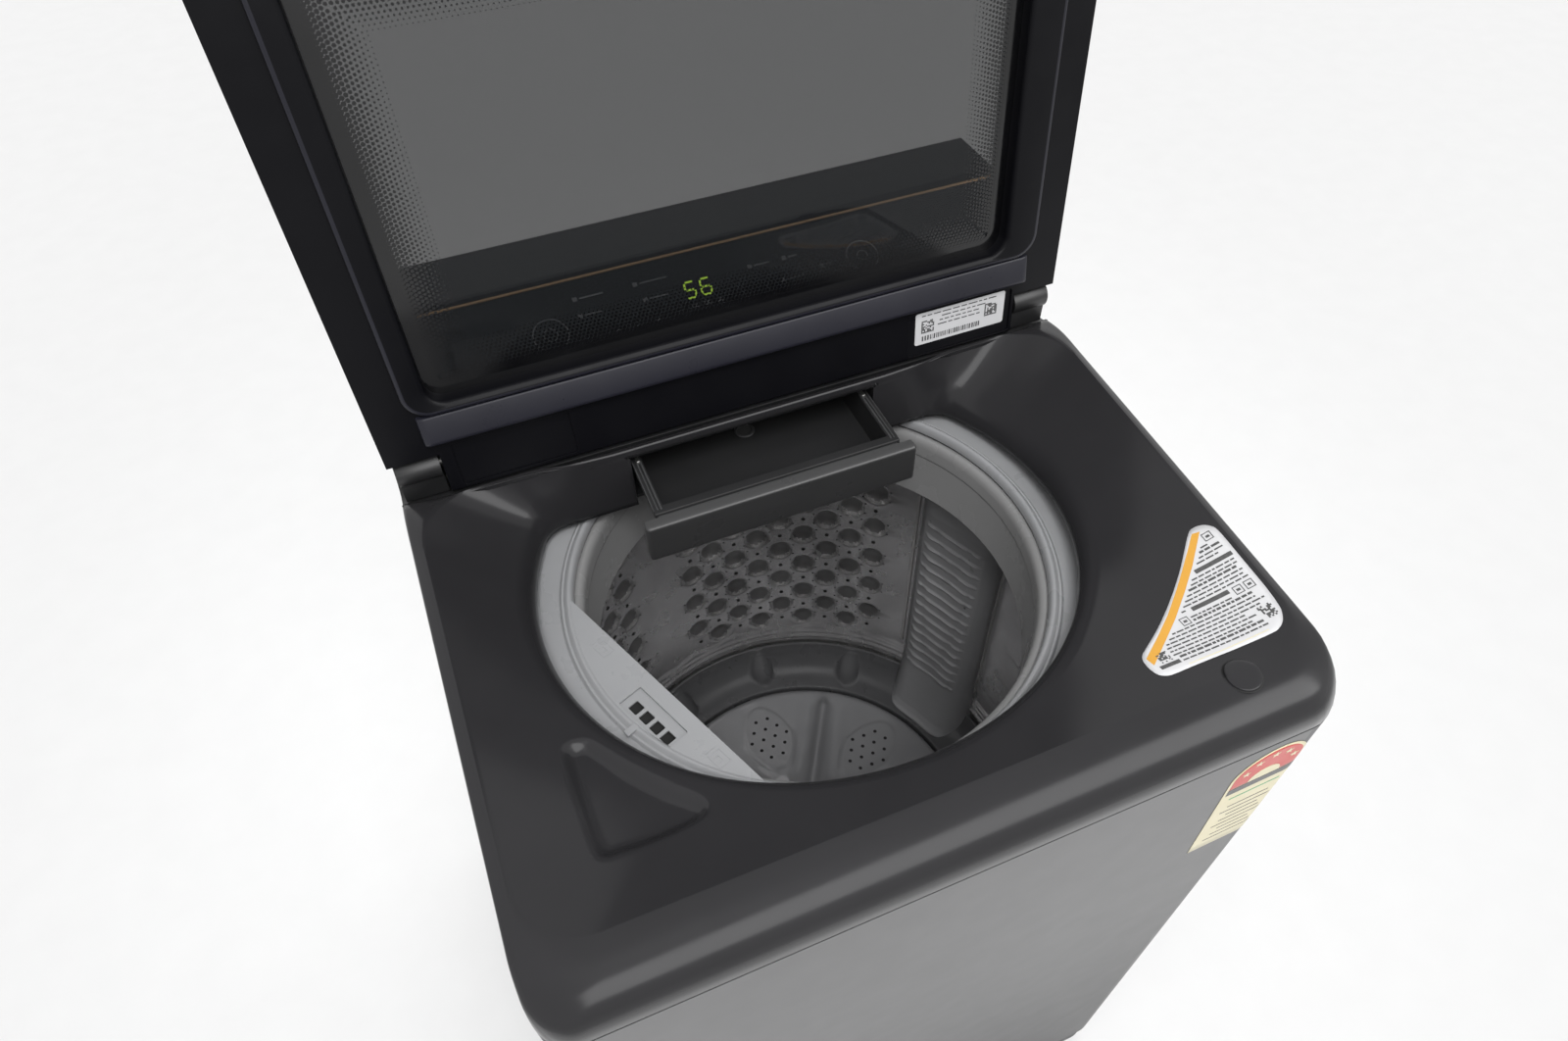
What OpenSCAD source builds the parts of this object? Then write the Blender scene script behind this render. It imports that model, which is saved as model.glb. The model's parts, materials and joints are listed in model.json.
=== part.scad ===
// Top load washing machine with a sunken deck, glass lid, pull-out
// detergent drawer, hanging tub, spinning basket and pulsator.
// Frame: origin on the floor under the middle of the cabinet,
// X to the right, Y to the back, Z up.  Millimetres.

/* [Cabinet] */
// Width of the cabinet
body_w = 590; // [586:1:600]
// Depth of the cabinet, front face to back panel
body_d = 606; // [604:1:616]
// Height of the machine to the top of the console
body_h = 1020; // [1018:1:1030]
// Sheet metal thickness
sheet_t = 1.2; // [0.8:0.1:1.5]
// Radius of the cabinet's upright front edges
corner_r = 28; // [20:1:32]
// Height of the seam between cabinet and deck
seam_z = 870.6; // [869:0.2:872]

/* [Deck] */
// Height of the deck's side edges at the back
deck_z = 940; // [938:1:942]
// Fall of the deck's side edges towards the front, degrees
deck_slope = 4.24; // [4:0.02:4.4]
// Radius of the laundry opening in the deck
mouth_r = 217; // [215:1:219]
// Thickness of the moulded deck
deck_t = 3; // [2.5:0.5:3.5]

/* [Lid] */
// Angle that the open lid leans back past upright, degrees
lid_lean = 5.49; // [3:0.01:6]
// Length of the lid from its lower edge to its front edge
lid_len = 412; // [400:1:416]
// Thickness of the lid's two frames and glass together
lid_t = 24; // [23:1:24]
// Turn of the lid from open to closed, degrees
lid_swing = 99.3; // [90:0.1:99.4]

/* [Drawer] */
// Half width of the slot that the drawer slides in
slot_half = 112.5; // [110:0.5:114]
// Travel of the drawer from open to closed
drawer_travel = 57.5; // [50:0.5:57.5]
// Length of the drawer's tray
tray_len = 150; // [130:1:150]

/* [Tub and basket] */
// Distance of the tub's axis in front of the cabinet's middle
axis_offset = 16; // [14:1:18]
// Outside radius of the steel drum
drum_r = 250; // [249:0.5:251]
// Inside radius of the balance ring at its top
ring_r = 191; // [190:0.5:192]
// Inside radius of the tub cover's raised lip
lip_r = 197; // [196.5:0.5:198]
// Outside radius of the outer tub
tub_r = 266; // [265:0.5:268]
// Radius of the pulsator
pulsator_r = 193.5; // [190:0.5:194]
// Number of ribs on the pulsator
rib_count = 6; // [4:1:8]
// Distance of each hanging rod from the tub's axis
rod_circle = 306; // [304:1:310]
// Coils in each suspension spring
spring_turns = 5; // [4:1:6]

/* [Hidden] */
$fn = 96;

half_w = body_w / 2;
half_d = body_d / 2;
axis_y = -axis_offset;

// levels, from the floor up
foot_pad_h = 12;
base_z = 30;
base_top_z = 72;
rotor_z = 168;
tub_z = 285;
drum_floor_z = 322;
pulsator_z = 336;
pulsator_rim_z = 347;
base_ring_z = 378;
shaft_top_z = 357;
cap_seat_z = 366;
filter_z = [383, 742];
filter_half = 12;
ear_z = 420;
ring_z = 781;
ring_top_z = 850;
cover_z = 852;
ridge_z = 858;
housing_z = 870;
housing_top_z = 924;
wall_low_z = 882;
bridge_z = 928;

// feet, base and back panel
foot_x = 252;
foot_y = 262;
foot_r = 24;
stud_r = 5;
stud_h = 46;
nut_h = 8;
base_open = [215, 225];
rib_half = 220;
rib_size = [4, 16];
rib_levels = [210, 350, 490, 630];
gland_r = 10;
gland_bore_r = 4;

// deck and console
deck_back_y = 111;
deck_fall_y = 107.6;
wall_y = 102;
wall_t = 4;
wall_half = 168;
ledge_half = 176;
rim_drop = [44, 60];
front_roll = [10, 34];
hinge_y = 125;
hinge_z = 954;
hinge_pin_r = 4;
damper_x = 274;
damper_half = 17;
bush_r = 8;
bush_x = 236;
bush_half = 18;
trough_r = 28;
console_y = 154;
housing_y = 262;
shell_t = 3;
gap = 0.3;
console_low_z = 983;
console_line_y = 229;
console_line_z = 1015;
board_z = 944;
board_t = 1.6;
board_half = 170;
board_y = [172, 236];
panel_end = 78;
panel_t = 1.6;
trim_w = 2.6;
shelf_low_z = 914;
cheek_top_z = 950;
lid_room_z = 936;
valve_box = 35;
valve_x = [-200, -145];
valve_z = 985;
thread_r = 13.2;
valve_bore_r = 8;
drain_x = -180;
drain_z = 130;
cup_r = 28;
cup_t = 3;
spigot_r = 15;
spigot_bore_r = 12;
gland_x = 230;
gland_z = 790;

cap_x = 219.6;
cap_y = -263.3;
cap_r = 12.5;
cap_h = 3.2;

// lid, measured up the lid (s) and back from its inner face (n)
lid_low_s = -20;
hinge_s = 3.65;
hinge_n = 11.4;
glass_x0 = -247.5;
glass_x1 = 236.5;
glass_s0 = 65;
glass_s1 = 352;
glass_n = 8;
glass_t = 4;
notch_x = 255;
notch_s = 17;
inner_t = 12;
rim_half = 267;
glass_seat = 8;
pocket_t = 1.5;

// drawer
front_half = 121.5;
front_low_z = 866;
front_h = 40;
front_y = 32;
front_t = 12;
tray_half = 104;
tray_z = 875;
tray_h = 33;
tray_wall = 2.2;
rail_half = 3.2;
rail_x = tray_half + rail_half;
clip_y = [74, 100];

// drain pump
pump_x = 110;
pump_y = axis_y - 130;
pump_neck_r = 15.8;
pump_bore_r = 12;

// bearings and drive
bearing_seat = 36;
bearing_r = 31;
bearing_bore_r = 15.05;
bearing_h = 10;
bearing_levels = [218, 296];
hub_r = 15;
shaft_r = 8;
rotor_r = 122;
stator_r = 88;
pole_count = 24;

// hanging gear
rod_r = 4;
rod_top_z = 846;
rod_low_z = 352;
rod_at = rod_circle * cos(45);
bracket_t = 4;
rod_head_r = 12;
rod_cup_r = 16;
corners = [[-1, -1], [1, -1], [-1, 1], [1, 1]];

// ---------------------------------------------------------------- helpers

function clamp01(v) = max(0, min(1, v));

function mix(a, b, t) = a + (b - a) * t;

module at_axis() {
    translate([0, axis_y, 0]) children();
}

module block(low, high) {
    translate(low) cube(high - low);
}

module ring(outer, inner, low, high) {
    translate([0, 0, low]) difference() {
        cylinder(r = outer, h = high - low);
        translate([0, 0, -1]) cylinder(r = inner, h = high - low + 2);
    }
}

// a cylinder lying along X, from x0 to x1
module bar_x(r, x0, x1) {
    translate([x0, 0, 0]) rotate([0, 90, 0]) cylinder(r = r, h = x1 - x0);
}

// cabinet outline, rounded at the two front corners only
module wrap_outline(inset) {
    r = corner_r - inset;
    translate([-half_w + inset, -half_d + corner_r])
        square([body_w - 2 * inset, body_d - corner_r]);
    translate([-half_w + corner_r, -half_d + inset])
        square([body_w - 2 * corner_r, corner_r]);
    for (side = [-1, 1])
        translate([side * (half_w - corner_r), -half_d + corner_r])
            circle(r = r);
}

// closed skin between an upper and a lower grid of points,
// each grid a list of rows of equal length
module thick_sheet(upper, lower) {
    rows = len(upper);
    cols = len(upper[0]);
    total = rows * cols;
    points = [for (g = [upper, lower]) for (row = g) for (p = row) p];
    top_faces = [for (j = [0 : rows - 2]) for (i = [0 : cols - 2])
        for (tri = [[0, 1, cols + 1], [0, cols + 1, cols]])
            [for (k = tri) j * cols + i + k]];
    low_faces = [for (f = top_faces)
        [f[2] + total, f[1] + total, f[0] + total]];
    loop = concat(
        [for (i = [0 : cols - 1]) i],
        [for (j = [1 : rows - 1]) j * cols + cols - 1],
        [for (i = [cols - 2 : -1 : 0]) (rows - 1) * cols + i],
        [for (j = [rows - 2 : -1 : 1]) j * cols]);
    edge_faces = [for (k = [0 : len(loop) - 1])
        let (a = loop[k], b = loop[(k + 1) % len(loop)])
            for (f = [[b, a, a + total], [b, a + total, b + total]]) f];
    polyhedron(points, concat(top_faces, low_faces, edge_faces));
}

// ---------------------------------------------------------------- cabinet

module base_frame() color("dimgray") difference() {
    translate([0, 0, base_z]) linear_extrude(base_top_z - base_z)
        wrap_outline(3);
    block([-base_open[0], -base_open[1], base_z - 1],
          [base_open[0], base_open[1], base_top_z + 1]);
    for (c = corners)
        translate([c[0] * foot_x, c[1] * foot_y, base_z - 1])
            cylinder(r = stud_r + 0.2, h = stud_h - 6);
}

module foot(side, back) color("dimgray")
    translate([side * foot_x, back * foot_y, 0]) {
        cylinder(r1 = foot_r - 2, r2 = foot_r, h = foot_pad_h);
        translate([0, 0, foot_pad_h]) cylinder(r = stud_r, h = stud_h);
    }

module lock_nuts() color("silver")
    for (c = corners)
        translate([c[0] * foot_x, c[1] * foot_y, base_z - nut_h]) difference() {
            cylinder(r = 11, h = nut_h, $fn = 6);
            translate([0, 0, -1]) cylinder(r = stud_r + 0.05, h = nut_h + 2);
        }

module cabinet_wrap() color("dimgray")
    translate([0, 0, base_top_z]) linear_extrude(seam_z - base_top_z)
        difference() {
            wrap_outline(0);
            translate([0, 10 + sheet_t]) wrap_outline(sheet_t);
            intersection() {
                wrap_outline(sheet_t);
                translate([-half_w, -half_d])
                    square([body_w, body_d - sheet_t]);
            }
            translate([-half_w, half_d - sheet_t - 0.2])
                square([body_w, 10]);
        }

module back_panel() color("darkgray") difference() {
    union() {
        block([-half_w, half_d - sheet_t, base_top_z],
              [half_w, half_d, seam_z]);
        for (z = rib_levels)
            block([-rib_half, half_d - sheet_t - rib_size[0], z],
                  [rib_half, half_d - sheet_t, z + rib_size[1]]);
    }
    translate([drain_x, half_d + 1, drain_z]) rotate([90, 0, 0])
        cylinder(r = cup_r, h = 20);
    translate([gland_x, half_d + 1, gland_z]) rotate([90, 0, 0])
        cylinder(r = gland_r, h = 20);
}

// plates across the cabinet's upper corners, which carry the rods
module corner_brackets() color("silver")
    for (c = corners)
        difference() {
            translate([0, 0, rod_top_z - 6]) linear_extrude(bracket_t)
                intersection() {
                    wrap_outline(sheet_t + 0.3);
                    polygon([
                        [c[0] * half_w, c[1] * (half_d - 6)],
                        [c[0] * half_w, axis_y + c[1] * (rod_at - 26)],
                        [c[0] * (rod_at - 20), axis_y + c[1] * (rod_at - 6)],
                        [c[0] * (rod_at - 20), c[1] * (half_d - 6)]]);
                }
            translate([c[0] * rod_at, axis_y + c[1] * rod_at,
                       rod_top_z - 10])
                cylinder(r = rod_r + 0.5, h = 12);
        }

// ------------------------------------------------------------------- deck

// height of the deck's outer edge line at a depth y
function edge_z(y) =
    deck_z - max(0, deck_fall_y - y) * tan(deck_slope);

// how far round the front an outline point is: 0 on the sides, 1 in front
function frontness(p) = clamp01((-p[1] - half_d + corner_r) / corner_r);

function outline_z(p) = p[1] > deck_back_y - 1
    ? bridge_z + (deck_z - bridge_z) * clamp01((abs(p[0]) - 264) / 24)
    : edge_z(p[1]);

// deck outline on the right half, from the drawer wall round to the front
deck_right = concat(
    [for (x = [186, 225, 262, half_w]) [x, deck_back_y]],
    [for (y = [70, 20, -30, -80, -130, -180, -230]) [half_w, y]],
    [for (a = [0 : 22.5 : 90])
        [half_w - corner_r + corner_r * cos(a),
         -half_d + corner_r - corner_r * sin(a)]],
    [for (x = [225, 180, 135, 90, 45]) [x, -half_d]]);

deck_outline = concat(
    deck_right,
    [[0, -half_d]],
    [for (i = [len(deck_right) - 1 : -1 : 0])
        [-deck_right[i][0], deck_right[i][1]]]);

// point of the mouth's rim on the ray from the axis to p
function rim_at(p) =
    let (dy = p[1] - axis_y,
         k = mouth_r / norm([p[0], dy]),
         cut = dy > 1 ? (wall_y - axis_y) / dy : 9)
    [p[0] * min(k, cut), axis_y + dy * min(k, cut)];

function rim_z(y) = mix(deck_z - rim_drop[0], deck_z - rim_drop[1],
                        clamp01((y - axis_y + mouth_r) / (mouth_r + 100)));

// point a given distance inwards from the outline, along the ray
function inset_at(p, d) =
    let (v = [p[0], p[1] - axis_y])
    p - v * d / norm(v);

function deck_column(p) =
    let (rim = rim_at(p),
         rz = rim_z(rim[1]),
         oz = outline_z(p),
         land = inset_at(p, front_roll[0] + front_roll[1] * frontness(p)),
         lz = frontness(p) > 0 ? edge_z(land[1]) : oz,
         f = frontness(p),
         a = inset_at(p, 30 * f),
         b = inset_at(p, 10 * f),
         c = inset_at(p, 2 * f))
    concat(
        [[rim[0], rim[1], rz - 8]],
        [for (t = [0, 0.3, 0.65, 1])
            [mix(rim[0], land[0], t), mix(rim[1], land[1], t),
             mix(rz, lz, t)]],
        [[a[0], a[1], oz - 4 * f],
         [b[0], b[1], oz - 12 * f - 0.4],
         [c[0], c[1], oz - 26 * f - 0.8],
         [p[0], p[1], seam_z]]);

// the same column moved inwards and down by the moulding's thickness
function lower_column(p) =
    let (col = deck_column(p), n = len(col), f = frontness(p))
    [for (k = [0 : n - 1])
        let (out = k == 0 || k == 1 ? deck_t
                 : k < n - 4 ? 0
                 : k == n - 4 ? -deck_t * (1 - f)
                 : -deck_t,
             q = inset_at([col[k][0], col[k][1]], -out))
        [q[0], q[1],
         col[k][2] - (k == 0 || k == n - 1 ? 0 : deck_t)]];

module top_cover() color([0.2, 0.2, 0.21]) thick_sheet(
    [for (p = deck_outline) deck_column(p)],
    [for (p = deck_outline) lower_column(p)]);

// drawer wall behind the mouth and the box that the drawer slides in
module drawer_housing() color([0.2, 0.2, 0.21]) difference() {
    union() {
        block([-wall_half, wall_y, wall_low_z],
              [wall_half, wall_y + wall_t, bridge_z]);
        block([-ledge_half, wall_y, bridge_z - wall_t],
              [ledge_half, deck_back_y - 0.5, bridge_z]);
        block([-slot_half - wall_t, wall_y, housing_z],
              [slot_half + wall_t, housing_y, housing_top_z]);
    }
    block([-slot_half, wall_y - 1, housing_z + 3],
          [slot_half, housing_y - wall_t, housing_top_z - wall_t]);
    hinge_trough();
}

module hinge_trough()
    translate([0, hinge_y, hinge_z]) bar_x(trough_r, -half_w - 1, half_w + 1);

// ---------------------------------------------------------------- console

module console_profile() polygon([
    [half_d, seam_z], [half_d, body_h - 7], [half_d - 7, body_h],
    [console_line_y + 6, body_h], [console_line_y + 1, console_line_z + 3],
    [console_y + 1, console_low_z - 1], [console_y, console_low_z - 6],
    [console_y, seam_z]]);

module console_hollow() polygon([
    [half_d - shell_t, seam_z - 1], [half_d - shell_t, body_h - 4],
    [console_line_y + 8, body_h - 4],
    [console_line_y + shell_t, console_line_z],
    [console_y + 4, console_low_z - 4],
    [console_y + shell_t, console_low_z - 8],
    [console_y + shell_t, seam_z - 1]]);

module console_housing() color([0.16, 0.16, 0.17]) difference() {
    union() {
        difference() {
            translate([-half_w, 0, 0]) rotate([90, 0, 90])
                linear_extrude(body_w) console_profile();
            translate([-half_w + shell_t, 0, 0]) rotate([90, 0, 90])
                linear_extrude(body_w - 2 * shell_t) console_hollow();
        }
        block([-half_w, deck_back_y, shelf_low_z],
              [half_w, console_y + 1, bridge_z]);
        block([valve_x[0] - valve_box - shell_t, half_d - 20,
               valve_z - 23 - shell_t],
              [valve_x[1] + valve_box + shell_t, half_d,
               valve_z + 21 + shell_t]);
        for (side = [-1, 1])
            translate([side * (half_w - shell_t / 2) - shell_t / 2, 0, 0])
                block([0, deck_back_y, seam_z],
                      [shell_t, console_y + 1, cheek_top_z]);
    }
    hinge_trough();
    block([-slot_half - wall_t - gap, deck_back_y - 1, housing_z - 1],
          [slot_half + wall_t + gap, housing_y + gap, housing_top_z + gap]);
    block([-half_w - 1, deck_back_y - 1, lid_room_z],
          [half_w + 1, hinge_y + 10, body_h]);
    block([valve_x[0] - valve_box, half_d - 14, valve_z - 23],
          [valve_x[1] + valve_box, half_d + 1, valve_z + 21]);
    for (x = valve_x)
        translate([x, half_d - 10, valve_z]) rotate([90, 0, 0])
            cylinder(r = 15, h = 20);
}

panel_slope = atan2(console_line_z + 3 - console_low_z + 1,
                    console_line_y - console_y);

// a plate lying on the console's slope, from a to b up the slope
module on_slope(x0, x1, a, b, t) {
    translate([0, console_y + 1, console_low_z - 1])
        rotate([panel_slope, 0, 0])
            block([x0, a, 0], [x1, b, t]);
}

module console_panel() color([0.03, 0.03, 0.035])
    on_slope(-half_w + 5, half_w - 5, 4, panel_end, panel_t);

module trim_strip() color([0.45, 0.34, 0.22])
    on_slope(-half_w + 5, half_w - 5, panel_end, panel_end + trim_w,
             panel_t + gap);

module control_board() color("darkgreen") {
    block([-board_half, board_y[0], board_z],
          [board_half, board_y[1], board_z + board_t]);
    for (x = [-140 : 40 : 140])
        block([x - 8, 196, board_z + board_t], [x + 8, 212, board_z + 13]);
}

// ------------------------------------------------------- hinge and fittings

module hinge_damper(side) color([0.1, 0.1, 0.11])
    translate([side * damper_x, hinge_y, hinge_z]) {
        bar_x(12.2, -damper_half, damper_half);
        block([-damper_half, -8, -trough_r + 1.8], [damper_half, 8, 0]);
    }

module hinge_pins() color("silver")
    for (side = [-1, 1])
        translate([side * (bush_x + 2), hinge_y, hinge_z])
            bar_x(hinge_pin_r, -bush_half - 1, bush_half + 1);

module lid_sensor_cap() color([0.15, 0.15, 0.16])
    translate([cap_x, cap_y, edge_z(cap_y) - 1.4])
        rotate([deck_slope, 0, 0]) cylinder(r = cap_r, h = cap_h);

module inlet_valve(x, tint) color(tint)
    translate([x, 0, valve_z]) rotate([-90, 0, 0]) difference() {
        union() {
            translate([0, 0, half_d - 58]) cylinder(r = 20, h = 37.8);
            translate([0, 0, half_d - 21]) cylinder(r = 14.6, h = 7);
            translate([0, 0, half_d - 14]) cylinder(r = thread_r, h = 13);
            translate([-14, 0, half_d - 50]) cube([28, 40, 26]);
        }
        translate([0, 0, half_d - 16]) cylinder(r = valve_bore_r, h = 20);
    }

// cup set into the back panel, with the spigot for the drain hose
module drain_outlet() color("dimgray")
    translate([drain_x, 0, drain_z]) rotate([-90, 0, 0]) difference() {
        union() {
            translate([0, 0, half_d - 34]) cylinder(r = cup_r + cup_t, h = 32.6);
            translate([0, 0, half_d - 60]) cylinder(r = spigot_r, h = 59);
        }
        difference() {
            translate([0, 0, half_d - 31]) cylinder(r = cup_r, h = 40);
            translate([0, 0, half_d - 31]) cylinder(r = spigot_r, h = 40);
        }
        translate([0, 0, half_d - 61]) cylinder(r = spigot_bore_r, h = 70);
    }

module cable_gland() color("black")
    translate([gland_x, half_d - 6, gland_z]) rotate([-90, 0, 0]) difference() {
        union() {
            cylinder(r = gland_r - 0.2, h = 6);
            translate([0, 0, -3]) cylinder(r = gland_r + 3, h = 3);
        }
        translate([0, 0, -4]) cylinder(r = gland_bore_r, h = 12);
    }

// ---------------------------------------------------------------- hanging

module rod(side, back) color("silver")
    translate([side * rod_at, axis_y + back * rod_at, 0]) {
        translate([0, 0, rod_low_z]) cylinder(r = rod_r,
                                              h = rod_top_z - rod_low_z);
        translate([0, 0, rod_top_z - 2]) cylinder(r = rod_head_r, h = 8);
        translate([0, 0, rod_low_z - 4]) cylinder(r = rod_cup_r, h = 6);
    }

function spring_point(a, r, low, pitch) =
    [r * cos(a), r * sin(a), low + pitch * a / 360];

// coil spring as a ring of six-sided sections along a helix
module spring(side, back) color("gray") {
    wire = 1.8;
    radius = 11;
    low = rod_low_z + 2 + wire;
    high = ear_z - 0.4 - wire;
    pitch = (high - low) / spring_turns;
    steps = spring_turns * 12;
    sides = 6;
    points = [for (k = [0 : steps]) for (m = [0 : sides - 1])
        let (a = k * 30,
             r = radius + wire * cos(m * 60),
             p = spring_point(a, r, low, pitch))
        [p[0], p[1], p[2] + wire * sin(m * 60)]];
    walls = [for (k = [0 : steps - 1]) for (m = [0 : sides - 1])
        let (n = (m + 1) % sides, b = k * sides)
            for (f = [[b + m, b + sides + n, b + n],
                      [b + m, b + sides + m, b + sides + n]]) f];
    ends = [[for (m = [0 : sides - 1]) m],
            [for (m = [sides - 1 : -1 : 0]) steps * sides + m]];
    translate([side * rod_at, axis_y + back * rod_at, 0])
        polyhedron(points, concat(walls, ends));
}

// -------------------------------------------------------------------- tub

// one lug, bolted to the tub's wall, that slides on a hanging rod
module tub_lug(c)
    translate([0, axis_y, ear_z]) rotate([0, 0, atan2(c[1], c[0])])
        difference() {
            block([tub_r - 12, -16, 0], [rod_circle + 16, 16, 12]);
            translate([0, 0, -1]) cylinder(r = tub_r + 0.1, h = 14);
            translate([rod_circle, 0, -1]) cylinder(r = rod_r + 1, h = 14);
        }

module tub_lugs() color("gainsboro")
    for (c = corners) tub_lug(c);

module outer_tub() color("gainsboro") difference() {
    at_axis() rotate_extrude() polygon([
        [bearing_seat, tub_z], [120, tub_z - 3], [tub_r - 6, tub_z + 10],
        [tub_r, tub_z + 22], [tub_r, cover_z - 10],
        [tub_r + 4, cover_z - 8], [tub_r + 4, cover_z],
        [tub_r - 3, cover_z], [tub_r - 3, tub_z + 24],
        [tub_r - 9, tub_z + 14], [120, tub_z + 2], [bearing_seat, tub_z + 5]]);
    translate([pump_x, pump_y, tub_z - 10]) cylinder(r = pump_neck_r + 0.2, h = 40);
}

module tub_cover() color("gainsboro") at_axis()
    rotate_extrude() polygon([
        [tub_r + 4, cover_z], [tub_r + 4, cover_z + 5],
        [tub_r - 6, cover_z + 7], [tub_r - 30, cover_z + 6],
        [lip_r + 10, cover_z + 4], [lip_r + 4, ridge_z],
        [lip_r + 1, ridge_z], [lip_r - 0.5, ridge_z - 4],
        [lip_r + 6, cover_z], [tub_r - 20, cover_z + 3],
        [tub_r - 10, cover_z]]);

// flat chord plate on the cover, with the slots that the spray leaves by
jet_angle = 202.4;
jet_chord = 163;
jet_t = 5.5;
jet_slot = 9;
jet_pitch = 12;

module jet_cover() color("gainsboro") at_axis() difference() {
    translate([0, 0, cover_z]) cylinder(r = lip_r - 1, h = jet_t);
    rotate([0, 0, jet_angle])
        block([-tub_r, -tub_r, cover_z - 1], [jet_chord, tub_r, cover_z + 8]);
    rotate([0, 0, jet_angle]) for (k = [0 : 3])
        translate([jet_chord + 21, -2.5 + jet_pitch * k, cover_z - 1])
            cube(jet_slot);
}

module bearing_housing() color("silver") at_axis() difference() {
    rotate_extrude() polygon([
        [20, 214], [bearing_seat, 214], [bearing_seat, 218], [58, 218],
        [58, 222], [bearing_seat, 226], [bearing_seat, tub_z - 4],
        [110, tub_z - 8], [110, tub_z - 3.2],
        [35.5, tub_z - 0.4], [35.5, 306], [20, 306]]);
    for (z = bearing_levels)
        translate([0, 0, z]) cylinder(r = bearing_r, h = bearing_h + 2);
}

// two ball bearings, each drawn as one ring with its groove
module bearings() color("lightgray") at_axis()
    for (z = bearing_levels) translate([0, 0, z]) rotate_extrude() polygon([
        [bearing_bore_r, 0], [20, 0], [20, 1], [26, 1], [26, 0],
        [bearing_r, 0], [bearing_r, bearing_h], [26, bearing_h],
        [26, bearing_h - 1], [20, bearing_h - 1], [20, bearing_h],
        [bearing_bore_r, bearing_h]]);

module stator() color([0.6, 0.4, 0.2]) at_axis() {
    difference() {
        ring(stator_r, 50, 192, 214);
        ring(stator_r - 8, 60, 188, 196);
    }
    for (k = [0 : pole_count - 1]) rotate([0, 0, k * 360 / pole_count])
        block([stator_r - 2, -7, 194], [stator_r + 18, 7, 212]);
    ring(58, 37, 213.9, 218);
}

module drain_pump() color("dimgray")
    translate([pump_x, pump_y, 0]) {
        translate([0, 0, tub_z - 46]) cylinder(r = 26, h = 30);
        translate([0, 0, tub_z - 17]) ring(pump_neck_r, pump_bore_r, 0, 20);
        translate([0, 0, tub_z - 84]) cylinder(r = 20, h = 38);
        translate([0, 0, tub_z - 32]) rotate([-90, 0, 40])
            translate([0, 0, 24]) ring(pump_bore_r, pump_bore_r - 3, 0, 26);
    }

// ----------------------------------------------------------------- basket

module drum() color("lightgray") at_axis() rotate_extrude() polygon([
    [drum_r - 4, 356], [drum_r, 356], [drum_r, 796],
    [drum_r - 1, 796], [drum_r - 1, 357], [drum_r - 4, 357]]);

module drum_base() color("dimgray") at_axis() rotate_extrude() polygon([
    [drum_r - 1, 357.2], [drum_r - 1, base_ring_z],
    [drum_r - 14, base_ring_z - 6], [226, 358], [208, 350],
    [pulsator_r + 2.5, pulsator_rim_z], [pulsator_r + 2, pulsator_z - 6],
    [60, pulsator_z - 6], [60, drum_floor_z], [200, drum_floor_z],
    [drum_r - 4, 340], [drum_r - 4, 357.2]]);

module balance_ring() color("gray") at_axis() rotate_extrude() polygon([
    [ring_r - 4.5, ring_z], [ring_r - 2, ring_z + 40],
    [ring_r - 0.5, ring_top_z - 3], [ring_r + 3, ring_top_z],
    [drum_r - 10, ring_top_z - 2], [drum_r - 1, ring_top_z - 10],
    [drum_r - 1, ring_z + 4], [drum_r - 5, ring_z]]);

module lint_filter(mid) color([0.25, 0.25, 0.26]) at_axis()
    rotate([0, 0, mid - filter_half]) rotate_extrude(angle = 2 * filter_half) polygon([
        [drum_r - 1.2, filter_z[0]], [drum_r - 1.2, filter_z[1]],
        [drum_r - 14, filter_z[1]], [drum_r - 26, filter_z[1] - 14],
        [drum_r - 30, 420], [drum_r - 36, 392],
        [drum_r - 36, filter_z[0]]]);

module drum_hub() color("silver") at_axis() difference() {
    union() {
        translate([0, 0, 312]) cylinder(r = 110, h = 10);
        translate([0, 0, 206]) cylinder(r = hub_r, h = 120);
        translate([0, 0, drum_floor_z]) cylinder(r = 59.8, h = 8);
    }
    translate([0, 0, 200]) cylinder(r = shaft_r + 0.08, h = 140);
}

// --------------------------------------------------------------- pulsator

module pulsator() color("dimgray") at_axis() difference() {
    union() {
        rotate_extrude() polygon([
            [0, pulsator_z], [pulsator_r, pulsator_z],
            [pulsator_r, pulsator_rim_z - 2], [pulsator_r - 3, pulsator_rim_z],
            [120, 351], [60, 362], [34, 371], [0, 371]]);
        for (k = [0 : rib_count - 1])
            rotate([0, 0, k * 360 / rib_count + 59.5])
                translate([30, 0, 350]) rotate([0, 91, 0])
                    cylinder(r1 = 18, r2 = 13, h = 150);
    }
    translate([0, 0, 200]) cylinder(r = shaft_r, h = shaft_top_z - 200);
    translate([0, 0, 200]) cylinder(r = 300, h = pulsator_z - 200);
    translate([0, 0, cap_seat_z]) cylinder(r = 22, h = 20);
}

module pulsator_cap() color("silver") at_axis()
    translate([0, 0, cap_seat_z]) rotate_extrude() polygon([
        [0, 0], [21.8, 0], [21.8, 6], [14, 10], [0, 11]]);

module wash_shaft() color("silver") at_axis()
    translate([0, 0, rotor_z + 4])
        cylinder(r = shaft_r, h = shaft_top_z - rotor_z - 4);

module rotor() color("gray") at_axis() difference() {
    translate([0, 0, rotor_z]) cylinder(r = rotor_r, h = 52);
    translate([0, 0, rotor_z + 4]) cylinder(r = rotor_r - 13, h = 60);
}

// -------------------------------------------------------------------- lid

// from lid coordinates (x, s up the lid, n back from the inner face)
// to the open lid's place
module lid_place() {
    translate([0, hinge_y, hinge_z]) rotate([-90 - lid_lean, 0, 0])
        children();
}

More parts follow.
